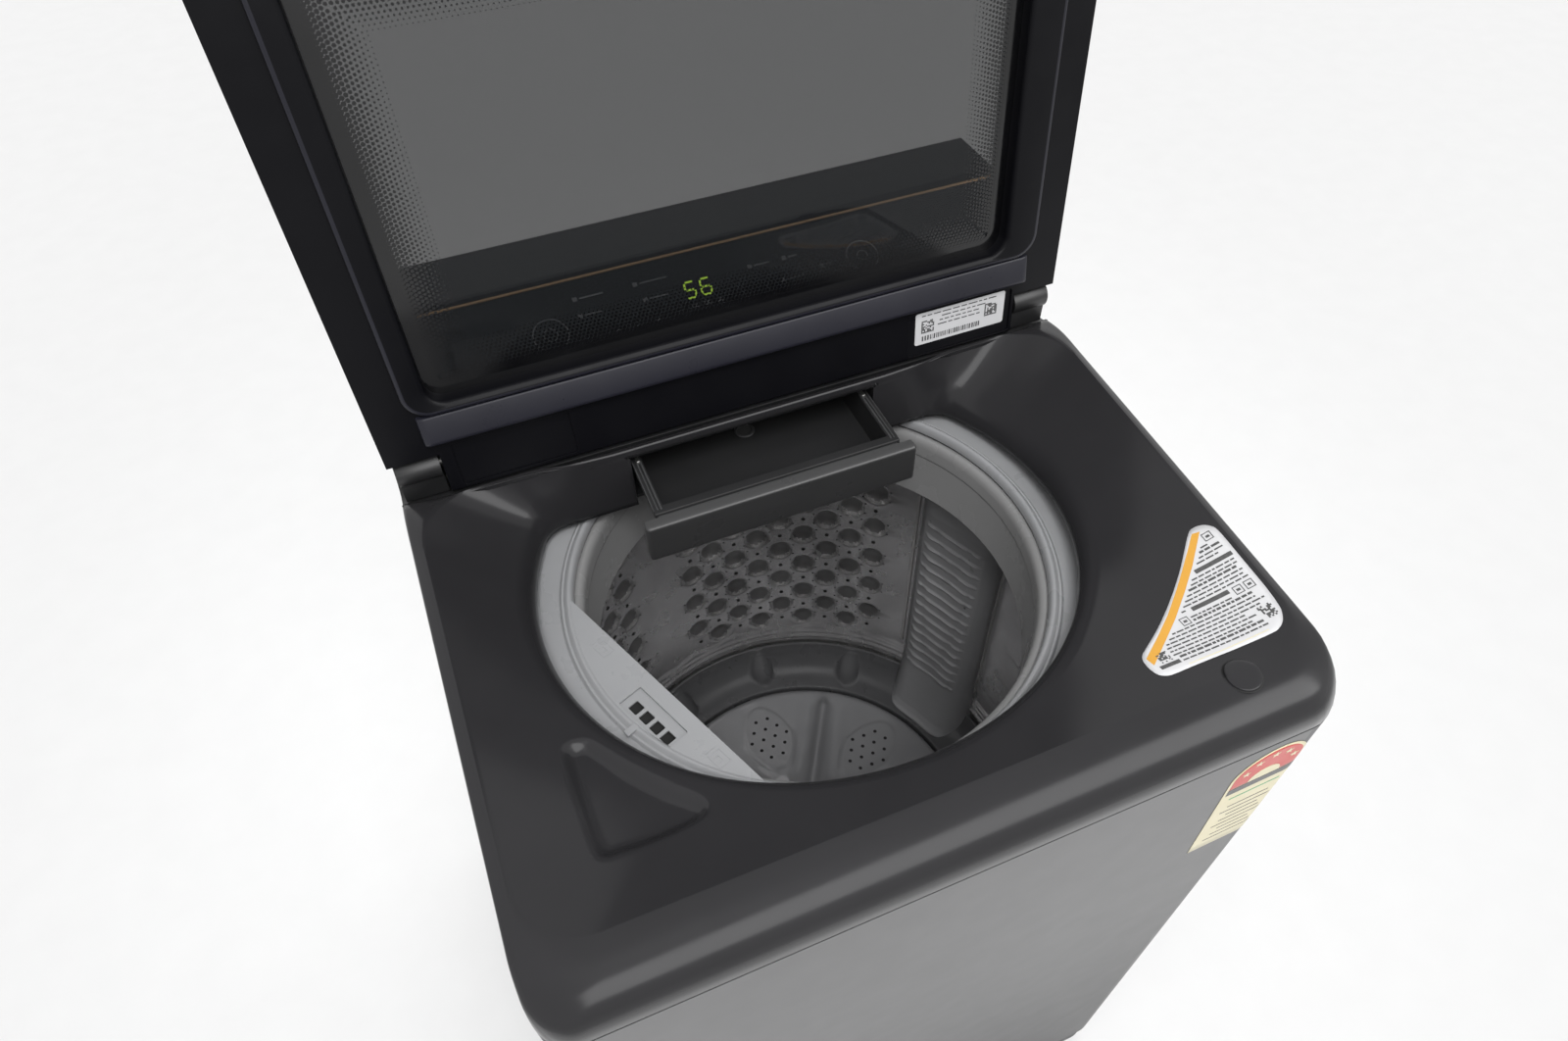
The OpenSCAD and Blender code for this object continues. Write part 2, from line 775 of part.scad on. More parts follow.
// box in lid coordinates
module lid_block(x0, x1, s0, s1, n0, n1) {
    block([x0, hinge_s - s1, n0 - hinge_n], [x1, hinge_s - s0, n1 - hinge_n]);
}

lid_top_s = lid_low_s + lid_len;

module lid_notches(n0, n1) {
    lid_block(-half_w - 1, -notch_x, lid_low_s - 1, notch_s, n0, n1);
    lid_block(notch_x, half_w + 1, lid_low_s - 1, notch_s, n0, n1);
}

// seats of the two hinge bushes
module hinge_channels()
    for (side = [-1, 1])
        translate([side * (bush_x + 1), 0, 0])
            bar_x(bush_r, -bush_half - 1, bush_half + 1);

module lid_inner_frame() color([0.09, 0.09, 0.11]) lid_place()
    difference() {
        union() {
            lid_block(-half_w, half_w, lid_low_s, lid_top_s, 0, inner_t);
            lid_block(-rim_half, rim_half, 56, lid_top_s - 12, -5, 1);
            lid_block(4 - rim_half, rim_half - 4, 31, 52.5, -8, 1);
        }
        lid_block(glass_x0, glass_x1, glass_s0, glass_s1, -10, 20);
        lid_block(glass_x0 - glass_seat, glass_x1 + glass_seat,
                  glass_s0 - glass_seat, glass_s1 + glass_seat, glass_n, 20);
        lid_block(-244.5, -151.5, -17, 24, -1, pocket_t);
        lid_block(150.5, 252, -21, 24, -1, pocket_t);
        lid_notches(-10, 20);
        hinge_channels();
    }

module lid_glass() color([0.3, 0.32, 0.33, 0.4]) lid_place()
    lid_block(glass_x0 - glass_seat + 0.5, glass_x1 + glass_seat - 0.5,
              glass_s0 - glass_seat + 0.5, glass_s1 + glass_seat - 0.5,
              glass_n, glass_n + glass_t);

module lid_outer_frame() color([0.09, 0.09, 0.11]) lid_place()
    difference() {
        lid_block(-half_w, half_w, lid_low_s, lid_top_s, inner_t, lid_t);
        lid_block(glass_x0 + 3, glass_x1 - 3, glass_s0 + 3, glass_s1 - 3,
                  10, lid_t + 1);
        lid_notches(10, lid_t + 1);
        hinge_channels();
    }

module hinge_bushes() color("ivory") lid_place()
    for (side = [-1, 1]) translate([side * bush_x, 0, 0]) difference() {
        bar_x(bush_r, -bush_half, bush_half);
        bar_x(hinge_pin_r + 0.06, -bush_half - 1, bush_half + 4);
    }

module lid_bumpers() color([0.12, 0.12, 0.13]) lid_place()
    for (x = [-281, 281])
        translate([x, hinge_s - (lid_top_s - 14), -hinge_n - 2])
            cylinder(r = 6, h = 2);

// ----------------------------------------------------------------- drawer

module drawer_tray() color([0.14, 0.14, 0.15]) {
    y0 = front_y + front_t;
    difference() {
        union() {
            block([-tray_half, y0, tray_z],
                  [tray_half, y0 + tray_len, tray_z + tray_h]);
            for (side = [-1, 1])
                block([side * rail_x - rail_half, y0, tray_z + tray_h - 6],
                      [side * rail_x + rail_half, y0 + tray_len,
                       tray_z + tray_h]);
        }
        block([-tray_half + tray_wall, y0 + 8, tray_z + tray_wall],
              [tray_half - tray_wall, y0 + tray_len - 3,
               tray_z + tray_h + 1]);
        translate([1.6, axis_y + 154, tray_z - 1]) cylinder(r = 5, h = 10);
    }
}

module drawer_front() color([0.2, 0.2, 0.21]) difference() {
    block([-front_half, front_y, front_low_z],
          [front_half, front_y + front_t, front_low_z + front_h]);
    block([-front_half + 3, front_y + 3, front_low_z - 1],
          [front_half - 3, front_y + front_t + 1, front_low_z + 8]);
}

module drawer_clips() color("silver")
    for (side = [-1, 1])
        block([side * rail_x - 2, front_y + front_t + clip_y[0],
               tray_z + tray_h],
              [side * rail_x + 2, front_y + front_t + clip_y[1],
               tray_z + tray_h + 3]);

// ------------------------------------------------------------------ nodes

base_frame();
foot(-1, -1);  // foot_front_left
foot(1, -1);  // foot_front_right
foot(-1, 1);  // foot_rear_left
foot(1, 1);  // foot_rear_right
lock_nuts();
cabinet_wrap();
back_panel();
corner_brackets();
top_cover();
drawer_housing();
console_housing();
console_panel();
trim_strip();
control_board();
hinge_damper(-1);  // hinge_damper_left
hinge_damper(1);  // hinge_damper_right
hinge_pins();
lid_sensor_cap();
inlet_valve(valve_x[0], "blue");  // inlet_valve_cold
inlet_valve(valve_x[1], "red");  // inlet_valve_hot
drain_outlet();
cable_gland();
rod(-1, -1);  // rod_front_left
rod(1, -1);  // rod_front_right
rod(-1, 1);  // rod_rear_left
rod(1, 1);  // rod_rear_right
spring(-1, -1);  // spring_front_left
spring(1, -1);  // spring_front_right
spring(-1, 1);  // spring_rear_left
spring(1, 1);  // spring_rear_right
outer_tub();
tub_lugs();
tub_cover();
jet_cover();
bearing_housing();
bearings();
stator();
drain_pump();
drum();
drum_base();
balance_ring();
lint_filter(21);  // lint_filter_right
lint_filter(201);  // lint_filter_left
drum_hub();
pulsator();
pulsator_cap();
wash_shaft();
rotor();
lid_inner_frame();
lid_glass();
lid_outer_frame();
hinge_bushes();
lid_bumpers();
drawer_tray();
drawer_front();
drawer_clips();
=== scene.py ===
"""Looks of the top load washing machine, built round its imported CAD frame.

Lengths are millimetres in the row frame until mesh_piece turns them into metres.
Deck shapes use axis coordinates: x and y from the tub's axis, z down from DECK_Z.
"""
import json
import math
import random

import bmesh
import bpy
import numpy as np
from mathutils import Matrix, Vector


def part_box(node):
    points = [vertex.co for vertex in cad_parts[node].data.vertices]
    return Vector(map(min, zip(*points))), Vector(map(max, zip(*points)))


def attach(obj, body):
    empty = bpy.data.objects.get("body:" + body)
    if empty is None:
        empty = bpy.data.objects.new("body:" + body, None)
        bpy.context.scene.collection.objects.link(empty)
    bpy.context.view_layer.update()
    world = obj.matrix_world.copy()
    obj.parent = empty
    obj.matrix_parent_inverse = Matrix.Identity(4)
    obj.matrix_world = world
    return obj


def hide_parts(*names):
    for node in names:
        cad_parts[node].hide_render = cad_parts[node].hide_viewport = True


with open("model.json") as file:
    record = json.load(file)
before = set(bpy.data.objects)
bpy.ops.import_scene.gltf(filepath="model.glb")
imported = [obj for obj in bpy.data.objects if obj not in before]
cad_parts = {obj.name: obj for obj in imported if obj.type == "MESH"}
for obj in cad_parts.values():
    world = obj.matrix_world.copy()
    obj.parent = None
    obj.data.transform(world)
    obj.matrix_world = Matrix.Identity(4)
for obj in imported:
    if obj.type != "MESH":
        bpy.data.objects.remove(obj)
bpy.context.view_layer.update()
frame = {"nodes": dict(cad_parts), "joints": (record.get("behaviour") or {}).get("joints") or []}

MM = 0.001
joints = {joint["name"]: joint for joint in frame["joints"]}


def limits(node):
    low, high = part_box(node)
    return [c / MM for c in low], [c / MM for c in high]


def pivot(joint):
    return [c / MM for c in joints[joint]["pos_m"]]


# ------------------------------------------------- sizes taken from the frame
WRAP_LOW, WRAP_HIGH = limits("cabinet_wrap")
HALF_W, FRONT_Y, SEAM_Z = WRAP_HIGH[0], WRAP_LOW[1], WRAP_HIGH[2]
AXIS_Y = pivot("basket_spin")[1]
HINGE_Y, HINGE_Z = pivot("lid_hinge")[1:]
DECK_BACK, DECK_Z = limits("top_cover")[1][1:]
DRUM_R = limits("drum")[1][0]
RING_LOW, RING_HIGH = limits("balance_ring")
COVER_LOW, COVER_HIGH = limits("tub_cover")
TUB_R = COVER_HIGH[0]
PULSATOR_LOW = limits("pulsator")[0][2]
FRONT_LOW, FRONT_HIGH = limits("drawer_front")
TRAY_LOW, TRAY_HIGH = limits("drawer_tray")
HOUSE_LOW, HOUSE_HIGH = limits("drawer_housing")
PANEL_LOW = limits("console_panel")[0]

# ------------------------------------------------------- the deck's own form
CORNER_R = 28          # upright front corners
MOUTH_R = 217          # laundry opening
MOUTH_SHIFT = 3.5      # opening's centre, to the left of the tub's axis
MOUTH_FRONT_Z = -44    # lip of the opening at the front
MOUTH_BACK_Z = -60     # and at its straight back wall
WALL_LINE = 116        # straight back wall of the opening
CREASE_HALF = 284      # crease between the bowl and the raised edge
CREASE_FRONT = -245
CREASE_TOP = 128
DECK_SLOPE = math.tan(math.radians(4.24))
SLOPE_START = 123.6
BRIDGE_DROP = 12       # back edge in the middle, below its corners
BACK_FALL = 3.9        # how far the deck's back edge turns down
SLOT_HALF = 112.5      # drawer's slot in the back wall
SLOT_TOP = -20
SKIN = 2.4
SEAM_GAP = 2.2         # gap between the deck and the cabinet

# ------------------------------------------------------------ lid's own form
# s runs up the open lid and n runs back from its inner face
LID_LEAN = math.radians(5.49)
HINGE_S, HINGE_N = 3.65, 11.4          # the hinge's axis
LID_LOW_S, LID_TOP_S = -20, 392
GLASS = (-247.5, 236.5, 65, 352)       # x and s of the clear pane's edges
RIM = (-267, 267, 56, 380)             # and of the raised rim's

random.seed(5)


# ------------------------------------------------------------------ helpers
def smooth_step(low, high, value):
    t = np.clip((value - low) / (high - low), 0, 1)
    return t * t * (3 - 2 * t)


def smooth_max(a, b, width):
    h = np.clip(0.5 + 0.5 * (a - b) / width, 0, 1)
    return b + (a - b) * h + width * h * (1 - h)


def grid_faces(rows, cols, close_rows=False, close_cols=False):
    faces = []
    for j in range(rows if close_rows else rows - 1):
        for i in range(cols if close_cols else cols - 1):
            right = (i + 1) % cols
            up = (j + 1) % rows
            faces.append((j * cols + i, j * cols + right, up * cols + right, up * cols + i))
    return faces


def mesh_piece(name, points, faces, body, mats, nodes=(), face_mats=None,
               smooth=True, crease=None, weld=None, thick=None, bevel=None):
    """A mesh piece in the row frame that rides on a body and takes the place of nodes.

    mats holds keys of MAT, apart by spaces; face_mats picks one of them for each face.
    """
    mesh = bpy.data.meshes.new(name)
    mesh.from_pydata((np.asarray(points, float) * MM).tolist(), [], faces)
    if weld:
        bm = bmesh.new()
        bm.from_mesh(mesh)
        bmesh.ops.remove_doubles(bm, verts=bm.verts, dist=weld * MM)
        bmesh.ops.dissolve_degenerate(bm, edges=bm.edges, dist=weld * MM)
        bmesh.ops.recalc_face_normals(bm, faces=bm.faces)
        bm.to_mesh(mesh)
        bm.free()
    for key in mats.split():
        mesh.materials.append(MAT[key])
    if face_mats is not None:
        mesh.polygons.foreach_set("material_index", face_mats)
    mesh.polygons.foreach_set("use_smooth", [smooth] * len(mesh.polygons))
    if crease:
        mesh.set_sharp_from_angle(angle=math.radians(crease))
    obj = bpy.data.objects.new(name, mesh)
    bpy.context.scene.collection.objects.link(obj)
    if thick:
        wall = obj.modifiers.new("wall", "SOLIDIFY")
        wall.thickness = thick * MM
        wall.offset = -1
    if bevel:
        round_edges(obj, bevel)
    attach(obj, body)
    if nodes:
        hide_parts(*nodes)
    return obj


def round_edges(obj, width, steps=2, angle=35):
    bevel = obj.modifiers.new("edges", "BEVEL")
    bevel.width = width * MM
    bevel.segments = steps
    bevel.limit_method = "ANGLE"
    bevel.angle_limit = math.radians(angle)
    bevel.harden_normals = False


def loops_piece(name, loops, body, mat, thick):
    """Flat faces, one for each loop of points, as one piece."""
    points = [point for loop in loops for point in loop]
    size = len(loops[0])
    faces = [tuple(range(k, k + size)) for k in range(0, len(points), size)]
    return mesh_piece(name, points, faces, body, mat, smooth=False, thick=thick)


def circle(radius, count=12):
    """Points of a circle as (across, up)."""
    turns = [2 * math.pi * k / count for k in range(count)]
    return [(radius * math.cos(t), radius * math.sin(t)) for t in turns]


def turned(r, az, z):
    """Point or grid of points at a radius, azimuth and height round the tub's axis."""
    return r * np.cos(az), AXIS_Y + r * np.sin(az), z


def turned_grid(r, az, z):
    return np.stack(turned(r, az, z), -1).reshape(-1, 3)


def turn_from(az, degrees):
    """Azimuths measured from one direction, between minus and plus half a turn."""
    return (az - math.radians(degrees) + math.pi) % (2 * math.pi) - math.pi


def as_is(u, v, w):
    return u, v, w


def grown(box, by):
    return box[0] - by, box[1] + by, box[2] - by, box[3] + by


def lathe(name, profile, body, mat, nodes=(), count=192, closed=True, bevel=0.8):
    """A body turned about the tub's axis from (radius, z) points."""
    angles = np.linspace(0, 2 * math.pi, count, endpoint=False)
    points = [turned(r, a, z) for r, z in profile for a in angles]
    faces = grid_faces(len(profile), count, close_rows=closed, close_cols=True)
    return mesh_piece(name, points, faces, body, mat, nodes, crease=40,
                      weld=0.01, bevel=bevel)


def spline(points, steps=6):
    """Closed smooth outline through a few points."""
    count = len(points)
    result = []
    for i in range(count):
        p = [np.array(points[(i + k) % count], float) for k in (-1, 0, 1, 2)]
        for t in np.arange(steps) / steps:
            a = 2 * p[1] + (p[2] - p[0]) * t
            b = (2 * p[0] - 5 * p[1] + 4 * p[2] - p[3]) * t ** 2
            c = (3 * p[1] - p[0] - 3 * p[2] + p[3]) * t ** 3
            result.append(tuple((a + b + c) / 2))
    return result


def rounded_box(x0, x1, y0, y1, radius, steps=8):
    """Outline of a box with round corners, anticlockwise from the lower left corner."""
    result = []
    for cx, cy, start in ((x0 + radius, y0 + radius, 180), (x1 - radius, y0 + radius, 270),
                          (x1 - radius, y1 - radius, 0), (x0 + radius, y1 - radius, 90)):
        for k in range(steps + 1):
            a = math.radians(start + 90 * k / steps)
            result.append((cx + radius * math.cos(a), cy + radius * math.sin(a)))
    return result


def outline_distance(x, y, outline):
    """Signed distance from points to a closed outline, negative inside."""
    best = np.full(np.shape(x), 1e9)
    inside = np.zeros(np.shape(x), bool)
    for (ax, ay), (bx, by) in zip(outline, outline[1:] + outline[:1]):
        ex, ey = bx - ax, by - ay
        t = np.clip(((x - ax) * ex + (y - ay) * ey) / (ex * ex + ey * ey + 1e-9), 0, 1)
        best = np.minimum(best, np.hypot(x - ax - t * ex, y - ay - t * ey))
        if ay != by:
            crosses = ((ay > y) != (by > y)) & (x < (by - y) / (by - ay) * (ax - bx) + bx)
            inside ^= crosses
    return np.where(inside, -best, best)


def plate(name, outlines, low, high, place, body, mats, nodes=(), bevel=0.8):
    """A flat plate with holes: the first outline is its edge and the others are holes."""
    curve = bpy.data.curves.new(name, "CURVE")
    curve.dimensions = "2D"
    curve.fill_mode = "BOTH"
    curve.extrude = (high - low) / 2
    for outline in outlines:
        line = curve.splines.new("POLY")
        line.points.add(len(outline) - 1)
        for point, (u, v) in zip(line.points, outline):
            point.co = (u, v, 0, 1)
        line.use_cyclic_u = True
    holder = bpy.data.objects.new(name + "_outline", curve)
    bpy.context.scene.collection.objects.link(holder)
    flat = bpy.data.meshes.new_from_object(
        holder.evaluated_get(bpy.context.evaluated_depsgraph_get()))
    points = [place(v.co.x, v.co.y, v.co.z + (low + high) / 2) for v in flat.vertices]
    faces = [tuple(face.vertices) for face in flat.polygons]
    bpy.data.objects.remove(holder)
    bpy.data.meshes.remove(flat)
    return mesh_piece(name, points, faces, body, mats, nodes, crease=35,
                      weld=0.005, bevel=bevel)


def bars(name, boxes, place, body, mats, nodes=(), face_mats=None, bevel=0.0):
    """Several boxes (u0, u1, v0, v1, w0, w1) as one piece, put in place by a function."""
    points, faces, kinds = [], [], []
    quads = ((0, 3, 2, 1), (4, 5, 6, 7), (0, 1, 5, 4), (1, 2, 6, 5), (2, 3, 7, 6), (3, 0, 4, 7))
    for index, (u0, u1, v0, v1, w0, w1) in enumerate(boxes):
        start = len(points)
        for w in (w0, w1):
            points += [place(u0, v0, w), place(u1, v0, w), place(u1, v1, w), place(u0, v1, w)]
        faces += [tuple(start + k for k in quad) for quad in quads]
        kinds += [face_mats[index] if face_mats else 0] * len(quads)
    return mesh_piece(name, points, faces, body, mats, nodes, kinds, smooth=False,
                      bevel=bevel or None)


def on_lid(x, s, n):
    """A point of the open lid: s up the lid, n back from its inner face."""
    up, back = s - HINGE_S, n - HINGE_N
    return (x, HINGE_Y + up * math.sin(LID_LEAN) + back * math.cos(LID_LEAN),
            HINGE_Z + up * math.cos(LID_LEAN) - back * math.sin(LID_LEAN))


# ---------------------------------------------------------------- materials
class Shader:
    """A Principled material whose nodes are added one by one."""

    def __init__(self, name):
        self.mat = bpy.data.materials.new(name)
        self.mat.use_nodes = True
        self.tree = self.mat.node_tree
        self.main = self.tree.nodes["Principled BSDF"]
        self.place = self.add("ShaderNodeTexCoord").outputs["Object"]

    def add(self, kind, **values):
        node = self.tree.nodes.new(kind)
        for key, value in values.items():
            setattr(node, key, value)
        return node

    def link(self, source, target):
        self.tree.links.new(source, target)

    def noise(self, scale, detail=3.0, stretch=(1, 1, 1), roughness=0.5):
        shift = self.add("ShaderNodeMapping")
        shift.inputs["Scale"].default_value = stretch
        self.link(self.place, shift.inputs["Vector"])
        node = self.add("ShaderNodeTexNoise")
        node.inputs["Scale"].default_value = scale
        node.inputs["Detail"].default_value = detail
        node.inputs["Roughness"].default_value = roughness
        self.link(shift.outputs["Vector"], node.inputs["Vector"])
        return node.outputs["Fac"]

    def ranged(self, value, low, high, to_low=0.0, to_high=1.0):
        node = self.add("ShaderNodeMapRange")
        for name, number in (("From Min", low), ("From Max", high),
                             ("To Min", to_low), ("To Max", to_high)):
            node.inputs[name].default_value = number
        self.link(value, node.inputs["Value"])
        return node.outputs["Result"]

    def mix(self, factor, first, second):
        node = self.add("ShaderNodeMix", data_type="RGBA")
        self.link(factor, node.inputs["Factor"])
        for socket, value in ((node.inputs["A"], first), (node.inputs["B"], second)):
            if isinstance(value, tuple):
                socket.default_value = (*value, 1)
            else:
                self.link(value, socket)
        return node.outputs["Result"]

    def bump(self, height, strength, distance):
        node = self.add("ShaderNodeBump")
        node.inputs["Strength"].default_value = strength
        node.inputs["Distance"].default_value = distance
        self.link(height, node.inputs["Height"])
        self.link(node.outputs["Normal"], self.main.inputs["Normal"])


def finish_of(name, colour, rough, metallic=0.0, specular=0.5, coat=0.0, tint=0.1,
              tint_scale=14, spread=0.05, grain=0.12, grain_scale=1100, wear_and_highlight=0.0,
              stretch=(1, 1, 1), ior=1.5, blotch=0.5):
    """A moulded, painted or metal finish: mottled colour, uneven gloss, fine grain, lighter edges
    as wear and painted highlight.
    """
    s = Shader(name)
    s.main.inputs["Metallic"].default_value = metallic
    s.main.inputs["Specular IOR Level"].default_value = specular
    s.main.inputs["IOR"].default_value = ior
    s.main.inputs["Coat Weight"].default_value = coat
    s.main.inputs["Coat Roughness"].default_value = 0.08
    mottle = s.ranged(s.noise(tint_scale, 4, stretch), 0.3, 0.7)
    dark = tuple(c * (1 - tint) for c in colour)
    light = tuple(min(1, c * (1 + tint)) for c in colour)
    shade = s.mix(mottle, dark, light)
    # convex edges are lightened: partly real edge wear, partly a painted highlight
    if wear_and_highlight:
        edge = s.add("ShaderNodeNewGeometry").outputs["Pointiness"]
        worn_and_highlit = tuple(min(1, c * 1.6 + 0.05) for c in colour)
        shade = s.mix(s.ranged(edge, 0.53, 0.62, 0, wear_and_highlight), shade, worn_and_highlit)
    s.link(shade, s.main.inputs["Base Color"])
    smear = s.noise(tint_scale * 2.3, 5, stretch, blotch)
    s.link(s.ranged(smear, 0.3, 0.7, rough - spread, rough + spread), s.main.inputs["Roughness"])
    s.bump(s.noise(grain_scale, 2, stretch), grain, 0.0002)
    return s.mat


def glow(name, colour, strength):
    """A lit printed mark."""
    s = Shader(name)
    s.link(s.mix(s.ranged(s.noise(300), 0.3, 0.7), tuple(c * 0.8 for c in colour), colour),
           s.main.inputs["Base Color"])
    s.main.inputs["Emission Color"].default_value = (*colour, 1)
    s.main.inputs["Emission Strength"].default_value = strength
    s.main.inputs["Roughness"].default_value = 0.4
    return s.mat


def tinted_glass(name, tint, alpha):
    """Dark see-through glass with faint smears."""
    s = Shader(name)
    s.main.inputs["Base Color"].default_value = (*tint, 1)
    s.main.inputs["Alpha"].default_value = alpha
    s.main.inputs["IOR"].default_value = 1.5
    s.main.inputs["Specular IOR Level"].default_value = 0.2
    smear = s.noise(12, 5)
    s.link(s.ranged(smear, 0.3, 0.7, 0.01, 0.035), s.main.inputs["Roughness"])
    return s.mat


MAT = {
    "cabinet": finish_of("cabinet_paint", (0.041, 0.041, 0.0425), 0.38, 0.1, specular=0.3,
                         tint=0.02, spread=0.01, grain=0.04, grain_scale=2400, wear_and_highlight=0.12),
    "back": finish_of("galvanised_back", (0.34, 0.35, 0.36), 0.42, 0.85, tint=0.16,
                      tint_scale=60, spread=0.1, grain=0.1),
    "deck": finish_of("deck_gloss", (0.0165, 0.0162, 0.0175), 0.2, specular=0.2,
                      tint=0.06, grain=0.02, grain_scale=1500, wear_and_highlight=0.06, spread=0.02),
    "base": finish_of("base_moulding", (0.05, 0.05, 0.053), 0.5, tint=0.12, grain=0.3, wear_and_highlight=0.2),
    "lid": finish_of("lid_satin", (0.0028, 0.0028, 0.0038), 0.34, specular=0.1, tint=0.08,
                     grain=0.06, grain_scale=2200, wear_and_highlight=0.08),
    # lighter lid colour laid on the rim's crest and the beam: a painted highlight
    "lid_band": finish_of("lid_painted_highlight_satin", (0.0095, 0.0095, 0.0145), 0.32, specular=0.22,
                          tint=0.08, grain=0.06, grain_scale=2200, wear_and_highlight=0.08),
    "black": finish_of("black_moulding", (0.009, 0.009, 0.0095), 0.38, specular=0.35,
                       tint=0.15, grain=0.2, wear_and_highlight=0.15),
    "panel": finish_of("touch_glass", (0.004, 0.004, 0.005), 0.06, coat=0.5, tint=0.2,
                       grain=0.01, spread=0.02),
    "trim": finish_of("bronze_trim", (0.85, 0.56, 0.32), 0.36, 0.3, tint=0.1, grain=0.1,
                      stretch=(0.05, 1, 1)),
    "board": finish_of("circuit_board", (0.01, 0.12, 0.045), 0.45, tint=0.3, tint_scale=90,
                       grain=0.3),
    "rubber": finish_of("rubber", (0.025, 0.025, 0.025), 0.75, tint=0.15, grain=0.5,
                        grain_scale=700),
    "zinc": finish_of("zinc_steel", (0.55, 0.55, 0.53), 0.34, 1.0, tint=0.12, tint_scale=50,
                      grain=0.1),
    "spring": finish_of("spring_steel", (0.32, 0.32, 0.33), 0.3, 1.0, tint=0.15, grain=0.1),
    "blue": finish_of("valve_blue", (0.03, 0.12, 0.45), 0.4, tint=0.12, grain=0.2),
    "red": finish_of("valve_red", (0.5, 0.03, 0.03), 0.4, tint=0.12, grain=0.2),
    "tub": finish_of("tub_plastic", (0.42, 0.43, 0.44), 0.42, tint=0.07, grain=0.2),
    "cover": finish_of("cover_plastic", (0.215, 0.218, 0.224), 0.3, specular=0.35,
                       tint=0.04, grain=0.05, wear_and_highlight=0.08),
    "ring": finish_of("ring_plastic", (0.175, 0.175, 0.175), 0.25, specular=0.4,
                      tint=0.03, grain=0.05),
    "seam": finish_of("seam_steel", (0.62, 0.61, 0.60), 0.22, 0.8, tint=0.08, grain=0.05),
    "cast": finish_of("cast_aluminium", (0.5, 0.5, 0.5), 0.5, 0.9, tint=0.12, grain=0.6,
                      grain_scale=500),
    "bearing": finish_of("bearing_steel", (0.6, 0.6, 0.6), 0.2, 1.0, tint=0.06, grain=0.05),
    "copper": finish_of("copper_coils", (0.55, 0.22, 0.08), 0.35, 0.9, tint=0.2,
                        tint_scale=160, grain=0.8, grain_scale=900, stretch=(1, 1, 6)),
    "basket": finish_of("basket_plastic", (0.052, 0.052, 0.054), 0.3, specular=0.4,
                        tint=0.05, grain=0.08, wear_and_highlight=0.1),
    "filter": finish_of("filter_plastic", (0.19, 0.19, 0.195), 0.32, tint=0.05, grain=0.08,
                        wear_and_highlight=0.25),
    "pulsator": finish_of("pulsator_plastic", (0.15, 0.15, 0.155), 0.2, tint=0.03,
                          grain=0.04, wear_and_highlight=0.1),
    "chrome": finish_of("chrome", (0.7, 0.7, 0.7), 0.12, 1.0, tint=0.05, grain=0.02),
    "rotor": finish_of("rotor_steel", (0.3, 0.3, 0.31), 0.38, 0.95, tint=0.15, grain=0.2),
    "bush": finish_of("bush_plastic", (0.6, 0.57, 0.48), 0.4, tint=0.08, grain=0.2),
    "drawer": finish_of("drawer_satin", (0.024, 0.024, 0.0245), 0.3, specular=0.35, tint=0.05,
                        grain=0.08, wear_and_highlight=0.35),
    "tray": finish_of("tray_plastic", (0.014, 0.014, 0.0145), 0.42, specular=0.4, tint=0.1,
                      grain=0.12, wear_and_highlight=0.1),
    "rail": finish_of("rail_plastic", (0.034, 0.034, 0.035), 0.34, specular=0.4,
                      tint=0.06, grain=0.1, wear_and_highlight=0.2),
    # near-black sheet laid in holes, slits and gaps: painted shade where the openings fall dark
    "dark": finish_of("painted_gap_shade", (0.004, 0.004, 0.004), 0.8, tint=0.3, grain=0.2),
    "paper": finish_of("label_white", (0.47, 0.47, 0.48), 0.42, tint=0.03, grain=0.1,
                       grain_scale=3000),
    "cream": finish_of("label_cream", (0.55, 0.50, 0.33), 0.45, tint=0.04, grain=0.1,
                       grain_scale=3000),
    "ink": finish_of("label_ink", (0.05, 0.05, 0.05), 0.5, tint=0.3, tint_scale=400, grain=0.1),
    "orange": finish_of("label_orange", (0.50, 0.25, 0.025), 0.45, tint=0.06, grain=0.1),
    "label_red": finish_of("label_red", (0.42, 0.03, 0.02), 0.45, tint=0.08, grain=0.1),
    "label_green": finish_of("label_green", (0.06, 0.28, 0.12), 0.45, tint=0.1, grain=0.1),
    "print": finish_of("panel_print", (0.42, 0.42, 0.43), 0.4, tint=0.2, grain=0.1),
    "frit": finish_of("glass_print", (0.002, 0.002, 0.0025), 0.12, tint=0.2, grain=0.02),
    "glass": tinted_glass("lid_glass_tint", (0.004, 0.005, 0.006), 0.66),
    "digits": glow("lit_digits", (0.62, 0.95, 0.10), 2.2),
}


def steel(name, shade, rough):
    """Stainless sheet of the drum: soft smudges, fine scratches and small water marks."""
    s = Shader(name)
    s.main.inputs["Metallic"].default_value = 0.92
    tone = s.mix(s.ranged(s.noise(16, 3, (1, 1, 0.6)), 0.35, 0.65),
                 (0.70 * shade, 0.69 * shade, 0.69 * shade),
                 (0.90 * shade, 0.89 * shade, 0.89 * shade))
    drops = s.add("ShaderNodeTexVoronoi", feature="F1")
    drops.inputs["Scale"].default_value = 260
    s.link(s.place, drops.inputs["Vector"])
    spots = s.ranged(drops.outputs["Distance"], 0.06, 0.16)
    s.link(s.mix(spots, (0.34 * shade,) * 3, tone), s.main.inputs["Base Color"])
    s.link(s.ranged(s.noise(30, 4), 0.3, 0.7, rough, rough + 0.1), s.main.inputs["Roughness"])
    s.bump(s.noise(40, 3, (1, 1, 1), 0.5), 0.25, 0.0012)
    return s.mat


MAT["steel"] = steel("drum_steel", 1.0, 0.2)
# darker copy of the drum steel for the dimples' centres: painted shade in the hollows
MAT["dimple"] = steel("dimple_shade_steel", 0.4, 0.36)


